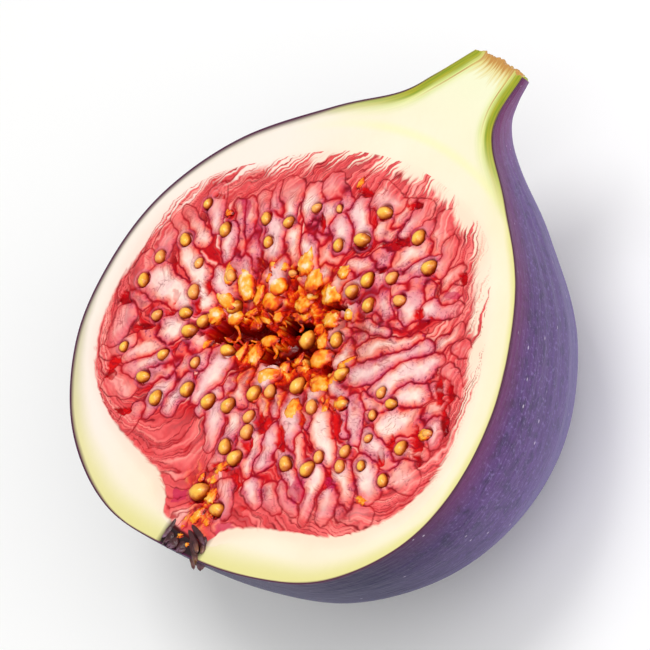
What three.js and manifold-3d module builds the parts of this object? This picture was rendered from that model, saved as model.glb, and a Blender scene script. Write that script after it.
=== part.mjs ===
// Half a fresh black fig, cut lengthwise through its stem and its eye, lying on its rounded back.
// Millimetres, +Z up. The cut face is level and on top, +Y runs from the eye to the stem, and +X is the right-hand
// side of the cut face seen from above. The origin is on the surface that the fruit rests on, under its middle.
//
// A fig is a fleshy head of flowers turned outside in, and the knife shows its three parts:
//   rind        the skin, the pale wall and the stem neck, which grew as one piece
//   pulp        the florets that line the wall, each a drop of flesh round a seed, about the hollow in their middle
//   eye_scales  the dry bracts that close the opening opposite the stem
import * as THREE from "three";
import { ParametricGeometry } from "three/addons/geometries/ParametricGeometry.js";
import { mergeVertices } from "three/addons/utils/BufferGeometryUtils.js";
import Module from "manifold-3d";

const wasm = await Module();
wasm.setup();

// Until the last section the cut face is the plane z = 0, and x and y are measured from the middle of the eye.

// The skin's edge on the cut face, from the stem's left corner round the eye to its right corner. The nth points
// from the two ends are the ends of one cross-section of the fruit.
const FACE_OUTLINE = [
  [-3.4, 57.1], [-6.3, 52.9], [-9.1, 49.5], [-15.7, 44.8], [-24.4, 37.0],
  [-29.5, 28.0], [-30.5, 19.0], [-28.3, 10.3], [-21.6, 2.5], [-11.5, -1.8], [0.5, -1.3], [9.8, 0.6],
  [18.2, 4.3], [24.2, 11.2], [26.2, 19.0], [24.6, 28.6], [18.9, 38.6], [11.4, 45.4],
  [5.8, 49.6], [4.0, 52.6], [4.0, 57.1],
];
// The edge of the pulp on the cut face, once round.
const PULP_OUTLINE = [
  [2.6, 2.4], [5.4, 4.5], [11.4, 6.8], [17.4, 9.6], [21.6, 14.1], [23.0, 20.0], [21.2, 26.2], [18.2, 31.5],
  [15.2, 36.0], [11.0, 40.3], [4.5, 42.2], [-3.0, 42.2], [-10.6, 40.1], [-18.0, 35.7], [-23.9, 31.1],
  [-27.0, 25.0], [-27.2, 18.5], [-25.4, 12.2], [-20.6, 7.7], [-13.5, 5.2], [-8.4, 4.2], [-5.0, 2.4], [-1.2, 1.8],
];
const PULP_DEPTH = 23.5;
const PULP_FLOOR = -0.9; // the pulp's body is sunk this far, and its florets stand up to the cut face
const GAP = 0.3; // between the rind, the pulp and the scales
const REST_SAG = 0.9; // how far the fruit's own weight flattens its back
const RIB_HEIGHT = 0.3;

// The hollow that the florets face: a slot across the middle of the pulp, at the bottom of a shallow dish.
const HOLLOW = { x: -4.0, y: 22.7, length: 13.6, width: 5.0, depth: 8.5, turn: THREE.MathUtils.degToRad(25) };
const DISH = { share: 0.36, depth: 3.2 };

// Rings of florets, from the wall to the hollow: how many, the shares of the way from the slot to the wall at
// which each one's inner and outer ends lie, its half width, and the share of them whose seed the knife laid bare.
const FLORET_RINGS = [
  { count: 46, inner: 0.74, outer: 1.08, halfWidth: 1.15, seeded: 0 },
  { count: 34, inner: 0.5, outer: 0.9, halfWidth: 1.45, seeded: 0.5 },
  { count: 28, inner: 0.33, outer: 0.63, halfWidth: 1.3, seeded: 0.55 },
  { count: 22, inner: 0.2, outer: 0.43, halfWidth: 1.15, seeded: 0.45 },
];
const SEED_RADIUS = 0.95;
// Rings of floret tips that stand in the dish and over the slot, by their share of the way to the wall.
const TIP_RINGS = [
  { count: 19, share: 0.17, radius: 1.35 },
  { count: 16, share: 0.08, radius: 1.3 },
  { count: 13, share: 0.0, radius: 1.2 },
];

// The pocket at the eye that the bracts fill, and the bracts in rows from the mouth inwards.
const EYE_POCKET = { x: 0.5, y: -0.3, radii: [3.4, 3.0, 3.3] };
const BRACT = { length: 3.6, width: 2.5, thickness: 1.0 };
const BRACT_ROWS = [
  { count: 6, root: [2.0, 0.7], tip: [1.1, -2.3] },
  { count: 5, root: [1.3, 1.8], tip: [0.4, -1.3] },
];

// How finely the surfaces are divided.
const ROWS_ON_FRUIT = 36;
const COLUMNS_ON_FRUIT = 44;
const RIM_COLUMNS = 72;
const BOWL_ROWS = 7;
const PULP_ROWS = [
  { from: -0.75, to: -0.3, rows: 2, columns: 30 },
  { from: -0.15, to: 0.28, rows: 9, columns: 84 },
  { from: 0.33, to: 1.0, rows: 13, columns: 160 },
];

// A repeatable pseudo-random number from 0 to 1 for a pair of whole numbers.
function scatter(i, j) {
  const s = Math.sin(i * 12.9898 + j * 78.233) * 43758.5453;
  return s - Math.floor(s);
}

function smoothStep(from, to, value) {
  return THREE.MathUtils.smoothstep(value, from, to);
}

// A closed mesh as a solid: shared corners are merged, and the flat triangles at poles are dropped.
function solidOf(geometry) {
  geometry.deleteAttribute("normal");
  geometry.deleteAttribute("uv");
  const merged = mergeVertices(geometry, 1e-4);
  const corners = merged.index.array;
  const triVerts = [];
  for (let i = 0; i < corners.length; i += 3) {
    const [a, b, c] = corners.slice(i, i + 3);
    if (a !== b && b !== c && c !== a) triVerts.push(a, b, c);
  }
  return new wasm.Manifold(
    new wasm.Mesh({
      numProp: 3,
      vertProperties: merged.getAttribute("position").array,
      triVerts: new Uint32Array(triVerts),
    }),
  );
}

function surfaceSolid(pointAt, slices, stacks) {
  return solidOf(new ParametricGeometry(pointAt, slices, stacks));
}

function curveThrough(points, closed) {
  const corners = points.map(([x, y]) => new THREE.Vector3(x, y, 0));
  return new THREE.CatmullRomCurve3(corners, closed, "catmullrom", 0.5);
}

// Ribs run along the fruit from the eye to the stem, strongest on its shoulder and gone at both ends.
function ribHeight(share, turn) {
  const ribs = 0.6 * Math.cos(13 * turn + 0.6) + 0.4 * Math.cos(21 * turn + 2.1);
  return RIB_HEIGHT * ribs * Math.sin(Math.PI * share) * (0.5 + 0.7 * share);
}

// How deep a section is, as a share of half its width. The knife passed above the middle of the neck and below
// that of the eye.
function depthRatio(share) {
  return 0.89 + 0.55 * smoothStep(0.2, 0.9, share) - 0.5 * smoothStep(0.78, 1, share);
}

// The whole half fruit: half-oval sections hang from the chords that join the outline's left and right edges.
function fruitBody() {
  const outline = curveThrough(FACE_OUTLINE, false);
  const left = new THREE.Vector3();
  const right = new THREE.Vector3();
  const slices = COLUMNS_ON_FRUIT + 1; // the last slice is the flat cut face
  const stacks = ROWS_ON_FRUIT + 1; // the last stack is the cut end of the stem
  const pointAt = (u, v, target) => {
    const row = Math.round(v * stacks);
    const share = Math.min(1, row / ROWS_ON_FRUIT);
    outline.getPoint(0.5 - share / 2, left);
    outline.getPoint(0.5 + share / 2, right);
    const halfChord = left.distanceTo(right) / 2;
    target.addVectors(left, right).multiplyScalar(0.5);
    if (row === stacks) {
      target.z = -0.45 * halfChord * depthRatio(1);
      return;
    }
    const column = Math.round(u * slices) % slices;
    const turn = (Math.PI * column) / COLUMNS_ON_FRUIT;
    const radius = share === 0 ? 0 : halfChord + ribHeight(share, turn);
    const across = right.sub(left).normalize();
    target.addScaledVector(across, radius * Math.cos(turn));
    target.z = -radius * depthRatio(share) * Math.sin(turn);
  };
  return surfaceSolid(pointAt, slices, stacks);
}

// The distance from the hollow's middle to the pulp's edge, as a function of direction.
function pulpRadius() {
  const samples = curveThrough(PULP_OUTLINE, true)
    .getPoints(720)
    .map(({ x, y }) => [x - HOLLOW.x, y - HOLLOW.y])
    .map(([x, y]) => ({ angle: Math.atan2(y, x), radius: Math.hypot(x, y) }))
    .sort((a, b) => a.angle - b.angle);
  return (angle) => {
    const wrapped = Math.atan2(Math.sin(angle), Math.cos(angle));
    const next = samples.findIndex((s) => s.angle >= wrapped);
    const b = samples[next < 0 ? 0 : next];
    const a = samples[next <= 0 ? samples.length - 1 : next - 1];
    const span = (b.angle - a.angle + 2 * Math.PI) % (2 * Math.PI) || 1;
    const part = ((wrapped - a.angle + 2 * Math.PI) % (2 * Math.PI)) / span;
    return a.radius + (b.radius - a.radius) * Math.min(1, part);
  };
}
const edgeRadius = pulpRadius();

// A closed surface through rings of points, each ring once round from the same side. Rings may differ in their
// number of points: the triangles step along whichever ring is behind.
function ringSolid(start, rings, end) {
  const geometry = new THREE.BufferGeometry();
  const points = [start, ...rings.flat(), end];
  const faces = [];
  let first = 1;
  rings.forEach((ring, r) => {
    const next = first + ring.length;
    const after = rings[r + 1];
    for (let i = 0; i < ring.length; i++) {
      const [here, beside] = [first + i, first + ((i + 1) % ring.length)];
      if (r === 0) faces.push(0, here, beside);
      if (!after) faces.push(points.length - 1, beside, here);
    }
    let [i, j] = [0, 0];
    while (after && (i < ring.length || j < after.length)) {
      const [a, b] = [first + (i % ring.length), next + (j % after.length)];
      if ((i + 1) / ring.length <= (j + 1) / after.length) {
        i += 1;
        faces.push(a, b, first + (i % ring.length));
      } else {
        j += 1;
        faces.push(a, b, next + (j % after.length));
      }
    }
    first = next;
  });
  geometry.setFromPoints(points);
  geometry.setIndex(faces);
  return solidOf(geometry);
}

// Towards the wall the florets bend sideways, to the stem over the shoulders and round the eye below.
function bendAt(direction) {
  return 0.3 * (0.35 - Math.cos(direction - THREE.MathUtils.degToRad(135)));
}

// Rings of a bowl under the pulp's edge, from its rim down. Sections parallel to the cut face shrink like those of
// an ellipsoid, and grow moves the walls out.
function bowlRings(grow) {
  return Array.from({ length: BOWL_ROWS }, (_, row) => {
    const sink = (Math.PI / 2) * (row / BOWL_ROWS);
    return Array.from({ length: RIM_COLUMNS }, (__, k) => {
      const direction = (2 * Math.PI * k) / RIM_COLUMNS;
      const angle = direction + bendAt(direction);
      const radius = (edgeRadius(angle) + grow) * Math.cos(sink);
      const depth = (PULP_DEPTH + grow) * Math.sin(sink);
      return new THREE.Vector3(HOLLOW.x + radius * Math.cos(angle), HOLLOW.y + radius * Math.sin(angle), -depth);
    });
  });
}

// The space that the pulp fills, open above the cut face, with its walls moved out by grow.
function pulpSpace(grow) {
  const rings = bowlRings(grow);
  const above = rings[0].map((p) => p.clone().setZ(2));
  const lid = new THREE.Vector3(HOLLOW.x, HOLLOW.y, 2);
  return ringSolid(lid, [above, ...rings], new THREE.Vector3(HOLLOW.x, HOLLOW.y, -PULP_DEPTH - grow));
}

// Pieces fused into one body. Hollows that fusing sealed are filled, and loose scraps are dropped.
function fused(pieces) {
  const bodies = wasm.Manifold.union(pieces).decompose();
  return bodies.sort((a, b) => b.volume() - a.volume())[0];
}

// An ellipsoid at a point, with its long axis turned in the cut plane.
function ellipsoid(x, y, z, radii, turn, columns, rows) {
  const geometry = new THREE.SphereGeometry(1, columns, rows);
  geometry.scale(...radii);
  geometry.rotateZ(turn);
  geometry.translate(x, y, z);
  return solidOf(geometry);
}

// Where a direction from the hollow and a share of the way from the slot's edge to the wall come to on the pulp.
// Inside the slot the share is below 0, and -1 is its middle.
function pulpPoint(direction, share, z) {
  const angle = direction + bendAt(direction) * share * share;
  const a = HOLLOW.length / 2;
  const b = HOLLOW.width / 2;
  const slot = (a * b) / Math.hypot(b * Math.cos(angle - HOLLOW.turn), a * Math.sin(angle - HOLLOW.turn));
  const radius = share < 0 ? slot * (1 + share) : slot + share * (edgeRadius(angle) - slot);
  return new THREE.Vector3(HOLLOW.x + radius * Math.cos(angle), HOLLOW.y + radius * Math.sin(angle), z);
}

// The florets of a ring, evenly round the hollow with a little disorder.
function floretsOf({ count, inner, halfWidth, seeded }, ring) {
  return Array.from({ length: count }, (_, k) => ({
    direction: (2 * Math.PI * (k + 0.5 * (ring % 2) + 0.45 * (scatter(ring, k) - 0.5))) / count,
    start: inner + 0.05 * (scatter(ring + 10, k) - 0.5),
    size: halfWidth * (0.88 + 0.24 * scatter(ring + 20, k)),
    bare: scatter(ring + 30, k) < seeded,
  }));
}
const FLORETS = FLORET_RINGS.map(floretsOf);

function tipsOf({ count, share, radius }, ring) {
  return Array.from({ length: count }, (_, k) => ({
    direction: (2 * Math.PI * (k + 0.5 * (ring % 2) + 0.5 * (scatter(ring + 40, k) - 0.5))) / count,
    share: share + 0.04 * (scatter(ring + 60, k) - 0.5),
    size: radius * (0.8 + 0.4 * scatter(ring + 50, k)),
  }));
}
const TIPS = TIP_RINGS.flatMap(tipsOf);

function turnBetween(a, b) {
  return Math.abs(Math.atan2(Math.sin(a - b), Math.cos(a - b)));
}

// How far the dish and the slot sink below the cut face.
function hollowDepth(share) {
  const dish = DISH.depth * (1 - smoothStep(0, DISH.share, Math.max(0, share)));
  const slot = share < 0 ? (HOLLOW.depth - DISH.depth) * Math.sqrt(1 - (1 + share) ** 2) : 0;
  return dish + slot;
}

// The florets' relief: each is a drop of flesh, thick near its inner end and thin at its root in the wall, and
// stands from the sunk floor up to the cut face. Tips are rounder and stand higher in the dish.
function reliefAt(direction, share, fromMiddle) {
  let relief = 0;
  FLORETS.forEach((florets, ring) => {
    const { outer } = FLORET_RINGS[ring];
    florets.forEach(({ direction: centre, start, size }) => {
      const along = (share - start) / (outer - start);
      if (along <= 0 || along >= 1) return;
      const swell = Math.sqrt(Math.sin(Math.PI * along)) * (1.12 - 0.45 * along);
      const aside = (turnBetween(direction, centre) * fromMiddle) / (size * swell);
      if (aside < 1) relief = Math.max(relief, Math.min(1, 1.3 * swell) * Math.sqrt(1 - aside * aside));
    });
  });
  const lift = relief * -PULP_FLOOR;
  const tipLifts = TIPS.map((tip) => {
    const aside = (turnBetween(direction, tip.direction) * fromMiddle) / tip.size;
    const beyond = ((share - tip.share) * 14) / (1.25 * tip.size);
    return 1.7 * tip.size * Math.sqrt(Math.max(0, 1 - aside * aside - beyond * beyond));
  });
  return Math.max(lift, ...tipLifts);
}

// The pulp's top, in rings from the slot's bottom to the wall.
function pulpTopRings() {
  return PULP_ROWS.flatMap(({ from, to, rows, columns }) =>
    Array.from({ length: rows }, (_, row) => {
      const share = from + ((to - from) * row) / (rows - 1);
      return Array.from({ length: columns }, (__, k) => {
        const direction = (2 * Math.PI * k) / columns;
        const place = pulpPoint(direction, share, 0);
        const fromMiddle = Math.hypot(place.x - HOLLOW.x, place.y - HOLLOW.y);
        return place.setZ(PULP_FLOOR - hollowDepth(share) + reliefAt(direction, share, fromMiddle));
      });
    }),
  );
}

function seeds() {
  return FLORETS.flatMap((florets, ring) =>
    florets.filter(({ bare }) => bare).map(({ direction, start }) => {
      const share = start + 0.25 * (FLORET_RINGS[ring].outer - start);
      const place = pulpPoint(direction, share, -0.3 - hollowDepth(share));
      const radii = [1.15, 0.9, 1].map((stretch) => stretch * SEED_RADIUS);
      return ellipsoid(place.x, place.y, place.z, radii, direction, 6, 4);
    }),
  );
}

function pulpSolid(pocket) {
  const bottom = new THREE.Vector3(HOLLOW.x, HOLLOW.y, PULP_FLOOR - HOLLOW.depth);
  const pole = new THREE.Vector3(HOLLOW.x, HOLLOW.y, -PULP_DEPTH);
  const underRim = bowlRings(0).slice(1);
  const flesh = ringSolid(bottom, [...pulpTopRings(), ...underRim], pole);
  return fused([flesh, ...seeds()]).subtract(pocket);
}

// A bract: a pointed scale that narrows to its tip and is thickest at its root.
function bract(root, tip, faceOut) {
  const along = new THREE.Vector3().subVectors(tip, root).normalize();
  const across = new THREE.Vector3().crossVectors(faceOut, along).normalize();
  const out = new THREE.Vector3().crossVectors(along, across);
  const columns = 6;
  const rows = 3;
  const pointAt = (u, v, target) => {
    const turn = (2 * Math.PI * (Math.round(u * columns) % columns)) / columns;
    const swell = v === 0 || v === 1 ? 0 : Math.sqrt(Math.sin(Math.PI * v)) * (1.1 - 0.4 * v);
    target.copy(root).addScaledVector(along, BRACT.length * v);
    target.addScaledVector(across, (swell * BRACT.width * Math.cos(turn)) / 2);
    target.addScaledVector(out, (swell * BRACT.thickness * Math.sin(turn)) / 2);
  };
  return surfaceSolid(pointAt, columns, rows);
}

function eyeScales(pocket) {
  const coreRadii = EYE_POCKET.radii.map((r) => 0.78 * r);
  const core = ellipsoid(EYE_POCKET.x, EYE_POCKET.y + 0.3, -0.2, coreRadii, 0, 12, 8);
  const bracts = [];
  BRACT_ROWS.forEach(({ count, root, tip }, row) => {
    for (let k = 0; k < count; k++) {
      const turn = Math.PI * ((k + 0.5 + 0.4 * (scatter(row + 70, k) - 0.5)) / count);
      const faceOut = new THREE.Vector3(Math.cos(turn), 0, -Math.sin(turn));
      const at = ([radius, y]) => new THREE.Vector3(EYE_POCKET.x, y, 0).addScaledVector(faceOut, radius);
      bracts.push(bract(at(root), at(tip), faceOut));
    }
  });
  const [rx, ry, rz] = EYE_POCKET.radii.map((r) => r - GAP);
  const inPocket = ellipsoid(EYE_POCKET.x, EYE_POCKET.y - 0.4, 0, [rx, ry + 0.4, rz], 0, 20, 12);
  return fused([core, ...bracts]).intersect(inPocket).trimByPlane([0, 0, -1], 0);
}

function meshOf(name, solid, color, roughness) {
  const { vertProperties, triVerts, numProp } = solid.getMesh();
  const geometry = new THREE.BufferGeometry();
  geometry.setAttribute("position", new THREE.BufferAttribute(vertProperties, numProp));
  geometry.setIndex(new THREE.BufferAttribute(triVerts, 1));
  geometry.computeVertexNormals();
  const mesh = new THREE.Mesh(geometry, new THREE.MeshStandardMaterial({ color, roughness, metalness: 0 }));
  mesh.name = name;
  return mesh;
}

// The parts of the fruit, with its back cut flat where it rests.
const pocket = ellipsoid(EYE_POCKET.x, EYE_POCKET.y, 0, EYE_POCKET.radii, 0, 24, 14);
const body = fruitBody();
const restHeight = body.boundingBox().min[2] + REST_SAG;
const rind = body.trimByPlane([0, 0, 1], restHeight).subtract(pulpSpace(GAP)).subtract(pocket);
const fig = new THREE.Group();
fig.add(
  meshOf("rind", rind, 0x5a4a72, 0.55),
  meshOf("pulp", pulpSolid(pocket), 0xcf3f4c, 0.3),
  meshOf("eye_scales", eyeScales(pocket), 0x43242c, 0.7),
);

// The origin goes to the middle of the fruit's box, at the height of the flat spot that it rests on.
const middle = new THREE.Box3().setFromObject(fig).getCenter(new THREE.Vector3());
fig.position.set(-middle.x, -middle.y, -restHeight);

export default fig;
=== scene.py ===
import math
import bmesh
import bpy
import mathutils
import numpy as np
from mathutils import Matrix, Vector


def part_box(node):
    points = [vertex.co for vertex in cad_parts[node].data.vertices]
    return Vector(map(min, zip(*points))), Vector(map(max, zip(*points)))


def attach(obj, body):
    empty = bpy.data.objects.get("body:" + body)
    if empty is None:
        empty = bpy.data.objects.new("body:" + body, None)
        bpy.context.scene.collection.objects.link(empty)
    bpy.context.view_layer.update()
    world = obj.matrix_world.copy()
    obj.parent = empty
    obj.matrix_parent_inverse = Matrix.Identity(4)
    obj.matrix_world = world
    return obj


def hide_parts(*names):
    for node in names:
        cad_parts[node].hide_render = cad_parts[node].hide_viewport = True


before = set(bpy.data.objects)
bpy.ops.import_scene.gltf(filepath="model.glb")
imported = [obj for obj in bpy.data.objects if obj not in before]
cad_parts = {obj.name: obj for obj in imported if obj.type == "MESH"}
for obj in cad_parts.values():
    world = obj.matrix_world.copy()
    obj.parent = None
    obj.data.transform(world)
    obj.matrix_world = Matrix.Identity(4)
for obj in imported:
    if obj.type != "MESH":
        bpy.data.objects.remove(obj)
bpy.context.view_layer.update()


# The rind: skin, pale wall and stem neck in one. The fruit grew it as one layer, thick at the neck and thin at the
# sides, and the knife left its edge smooth, with the skin as a thin dark line all round.

# The knife went through the stem and the eye, so the cut face is level and every layer of the fruit meets it. All
# shapes are in millimetres from the middle of the eye on this plane: x to the right, y to the stem.
FACE_MIDDLE_X = (-30.5 + 26.26) / 2
STEM_END_Y = 57.1
rind_low, rind_high = (np.array(corner) * 1000 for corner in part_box("rind"))
EYE = np.array([(rind_low[0] + rind_high[0]) / 2 - FACE_MIDDLE_X, rind_high[1] - STEM_END_Y, rind_high[2]])
FACE_OUTLINE = [
    (-3.4, 57.1), (-6.3, 52.9), (-9.1, 49.5), (-15.7, 44.8), (-24.4, 37.0),
    (-29.5, 28.0), (-30.5, 19.0), (-28.3, 10.3), (-21.6, 2.5), (-11.5, -1.8), (0.5, -1.3), (9.8, 0.6),
    (18.2, 4.3), (24.2, 11.2), (26.2, 19.0), (24.6, 28.6), (18.9, 38.6), (11.4, 45.4),
    (5.8, 49.6), (4.0, 52.6), (4.0, 57.1),
]
PULP_OUTLINE = [
    (2.6, 2.4), (5.4, 4.5), (11.4, 6.8), (17.4, 9.6), (21.6, 14.1), (23.0, 20.0), (21.2, 26.2), (18.2, 31.5),
    (15.2, 36.0), (11.0, 40.3), (4.5, 42.2), (-3.0, 42.2), (-10.6, 40.1), (-18.0, 35.7), (-23.9, 31.1),
    (-27.0, 25.0), (-27.2, 18.5), (-25.4, 12.2), (-20.6, 7.7), (-13.5, 5.2), (-8.4, 4.2), (-5.0, 2.4), (-1.2, 1.8),
]
HOLLOW = np.array([-4.0, 22.7])
PULP_MARGIN = 1.5
PULP_DEPTH = 23.5
RIB_HEIGHT = 0.3
LEDGE_SHARE, LEDGE_DROP = 0.965, 0.12
# The skin's length and half girth, by which its streaks and pores are laid out.
SKIN_LENGTH, SKIN_GIRTH = 62, 21
SKIN_ROWS, SKIN_COLUMNS, FACE_STEPS, STEM_END_ROWS = 200, 220, 34, 12


def smooth(low, high, value):
    """Rises from 0 at low to 1 at high, level at both ends."""
    t = np.clip((value - low) / (high - low), 0, 1)
    return t * t * (3 - 2 * t)


def noise(x, y, seed, period=0):
    """Gradient noise of about -1 to 1: a random slope at each whole-number point, blended between the four round
    a place by smooth steps. With a period, it repeats after that many steps of x."""
    slopes = np.random.default_rng(seed).uniform(0, 2 * math.pi, 4096)
    i, j = np.floor(x).astype(np.int64), np.floor(y).astype(np.int64)
    f, g = x - i, y - j

    def corner(di, dj):
        column = (i + di) % period if period else i + di
        turn = slopes[(column * 73856093 ^ (j + dj) * 19349663) & 4095]
        return np.cos(turn) * (f - di) + np.sin(turn) * (g - dj)

    u, v = (t * t * t * (t * (t * 6 - 15) + 10) for t in (f, g))
    low = corner(0, 0) * (1 - u) + corner(1, 0) * u
    high = corner(0, 1) * (1 - u) + corner(1, 1) * u
    return 1.5 * (low * (1 - v) + high * v)


def curve_through(points, t, closed):
    """A Catmull-Rom curve through the points, at shares t of the way along them."""
    p = np.array(points, dtype=float)
    count = len(p)
    place = np.asarray(t) * (count if closed else count - 1)
    first = np.floor(place).astype(int)
    if not closed:
        first = np.minimum(first, count - 2)
    w = (place - first)[..., None]
    if closed:
        a, b, c, d = (p[(first + k) % count] for k in (-1, 0, 1, 2))
    else:
        p = np.vstack([2 * p[0] - p[1], p, 2 * p[-1] - p[-2]])
        a, b, c, d = (p[first + k] for k in range(4))
    m, n = (c - a) / 2, (d - b) / 2
    return b + m * w + (3 * (c - b) - 2 * m - n) * w**2 + (2 * (b - c) + m + n) * w**3


def grid_mesh(name, grids, attributes, materials):
    """A piece from grids of points in mm from the eye. Each grid is (points, wrap, material number), its cells
    become four-sided faces, and points that meet are welded, so grids with the same border close on each other.
    attributes holds an array of one number per point for each name."""
    corners, quads, slots, start = [], [], [], 0
    for points, wrap, material in grids:
        rows, columns = points.shape[:2]
        r = np.arange(rows - 1)[:, None]
        c = np.arange(columns if wrap else columns - 1)[None, :]
        n = (c + 1) % columns
        cells = np.stack([r * columns + c, r * columns + n, (r + 1) * columns + n, (r + 1) * columns + c], -1)
        corners.append(points.reshape(-1, 3))
        quads.append(start + cells.reshape(-1, 4))
        slots.append(np.full(len(quads[-1]), material))
        start += rows * columns
    corners, quads, slots = np.concatenate(corners), np.concatenate(quads), np.concatenate(slots)
    mesh = bpy.data.meshes.new(name)
    mesh.vertices.add(len(corners))
    mesh.vertices.foreach_set("co", ((corners + EYE) / 1000).astype(np.float32).ravel())
    mesh.loops.add(quads.size)
    mesh.loops.foreach_set("vertex_index", quads.ravel().astype(np.int32))
    mesh.polygons.add(len(quads))
    mesh.polygons.foreach_set("loop_start", np.arange(0, quads.size, 4, dtype=np.int32))
    mesh.polygons.foreach_set("material_index", slots.astype(np.int32))
    mesh.update(calc_edges=True)
    for key, values in attributes.items():
        store = mesh.attributes.new(key, "FLOAT", "POINT")
        store.data.foreach_set("value", np.asarray(values, dtype=np.float32).ravel())
    work = bmesh.new()
    work.from_mesh(mesh)
    bmesh.ops.remove_doubles(work, verts=work.verts, dist=2e-7)
    bmesh.ops.recalc_face_normals(work, faces=work.faces)
    work.to_mesh(mesh)
    work.free()
    mesh.shade_smooth()
    for material in materials:
        mesh.materials.append(material)
    piece = bpy.data.objects.new(name, mesh)
    bpy.context.scene.collection.objects.link(piece)
    return piece


def depth_ratio(share):
    """How deep a section is, as a share of half its width."""
    return 0.89 + 0.55 * smooth(0.2, 0.9, share) - 0.5 * smooth(0.78, 1, share)


def skin_surface():
    """Half-oval sections that hang from chords across the outline, from the eye (share 0) to the stem's end, each
    swept from its right end (turn 0) to its left end (turn pi). Low ribs run lengthwise and small dents lie
    across it. Below the resting height it is pressed flat."""
    share = np.linspace(0, 1, SKIN_ROWS + 1)[:, None]
    turn = np.linspace(0, math.pi, SKIN_COLUMNS + 1)[None, :]
    left = curve_through(FACE_OUTLINE, 0.5 - share[:, 0] / 2, False)[:, None, :]
    right = curve_through(FACE_OUTLINE, 0.5 + share[:, 0] / 2, False)[:, None, :]
    half = np.linalg.norm(right - left, axis=-1) / 2
    across = (right - left) / np.maximum(2 * half, 1e-9)[..., None]
    ribs = 0.6 * np.cos(13 * turn + 0.6) + 0.4 * np.cos(21 * turn + 2.1)
    ribs = RIB_HEIGHT * ribs * np.sin(math.pi * share) * (0.5 + 0.7 * share)
    pleats = np.abs(noise(turn * 9 + 0 * share, share * 3 + 0 * turn, 5)) * -0.35 * smooth(0.3, 0.75, share)
    dents = 0.12 * noise(turn * 6, share * 9, 6) * np.sin(math.pi * share)
    radius = np.where(share > 0, half + ribs + (pleats + dents) * smooth(0, 0.25, np.sin(turn)), 0)
    flat = (left + right) / 2 + across * (radius * np.cos(turn))[..., None]
    z = -radius * depth_ratio(share) * np.sin(turn)
    z = np.maximum(z, -EYE[2])
    return np.concatenate([flat, z[..., None]], -1), share + 0 * turn, turn + 0 * share


def edge_of_pulp(angle):
    """The distance from the hollow's middle to the pulp's edge in each direction."""
    loop = curve_through(PULP_OUTLINE, np.linspace(0, 1, 1440, endpoint=False), True) - HOLLOW
    at = np.arctan2(loop[:, 1], loop[:, 0])
    order = np.argsort(at)
    return np.interp(angle, at[order], np.hypot(*loop.T)[order], period=2 * math.pi)


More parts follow.
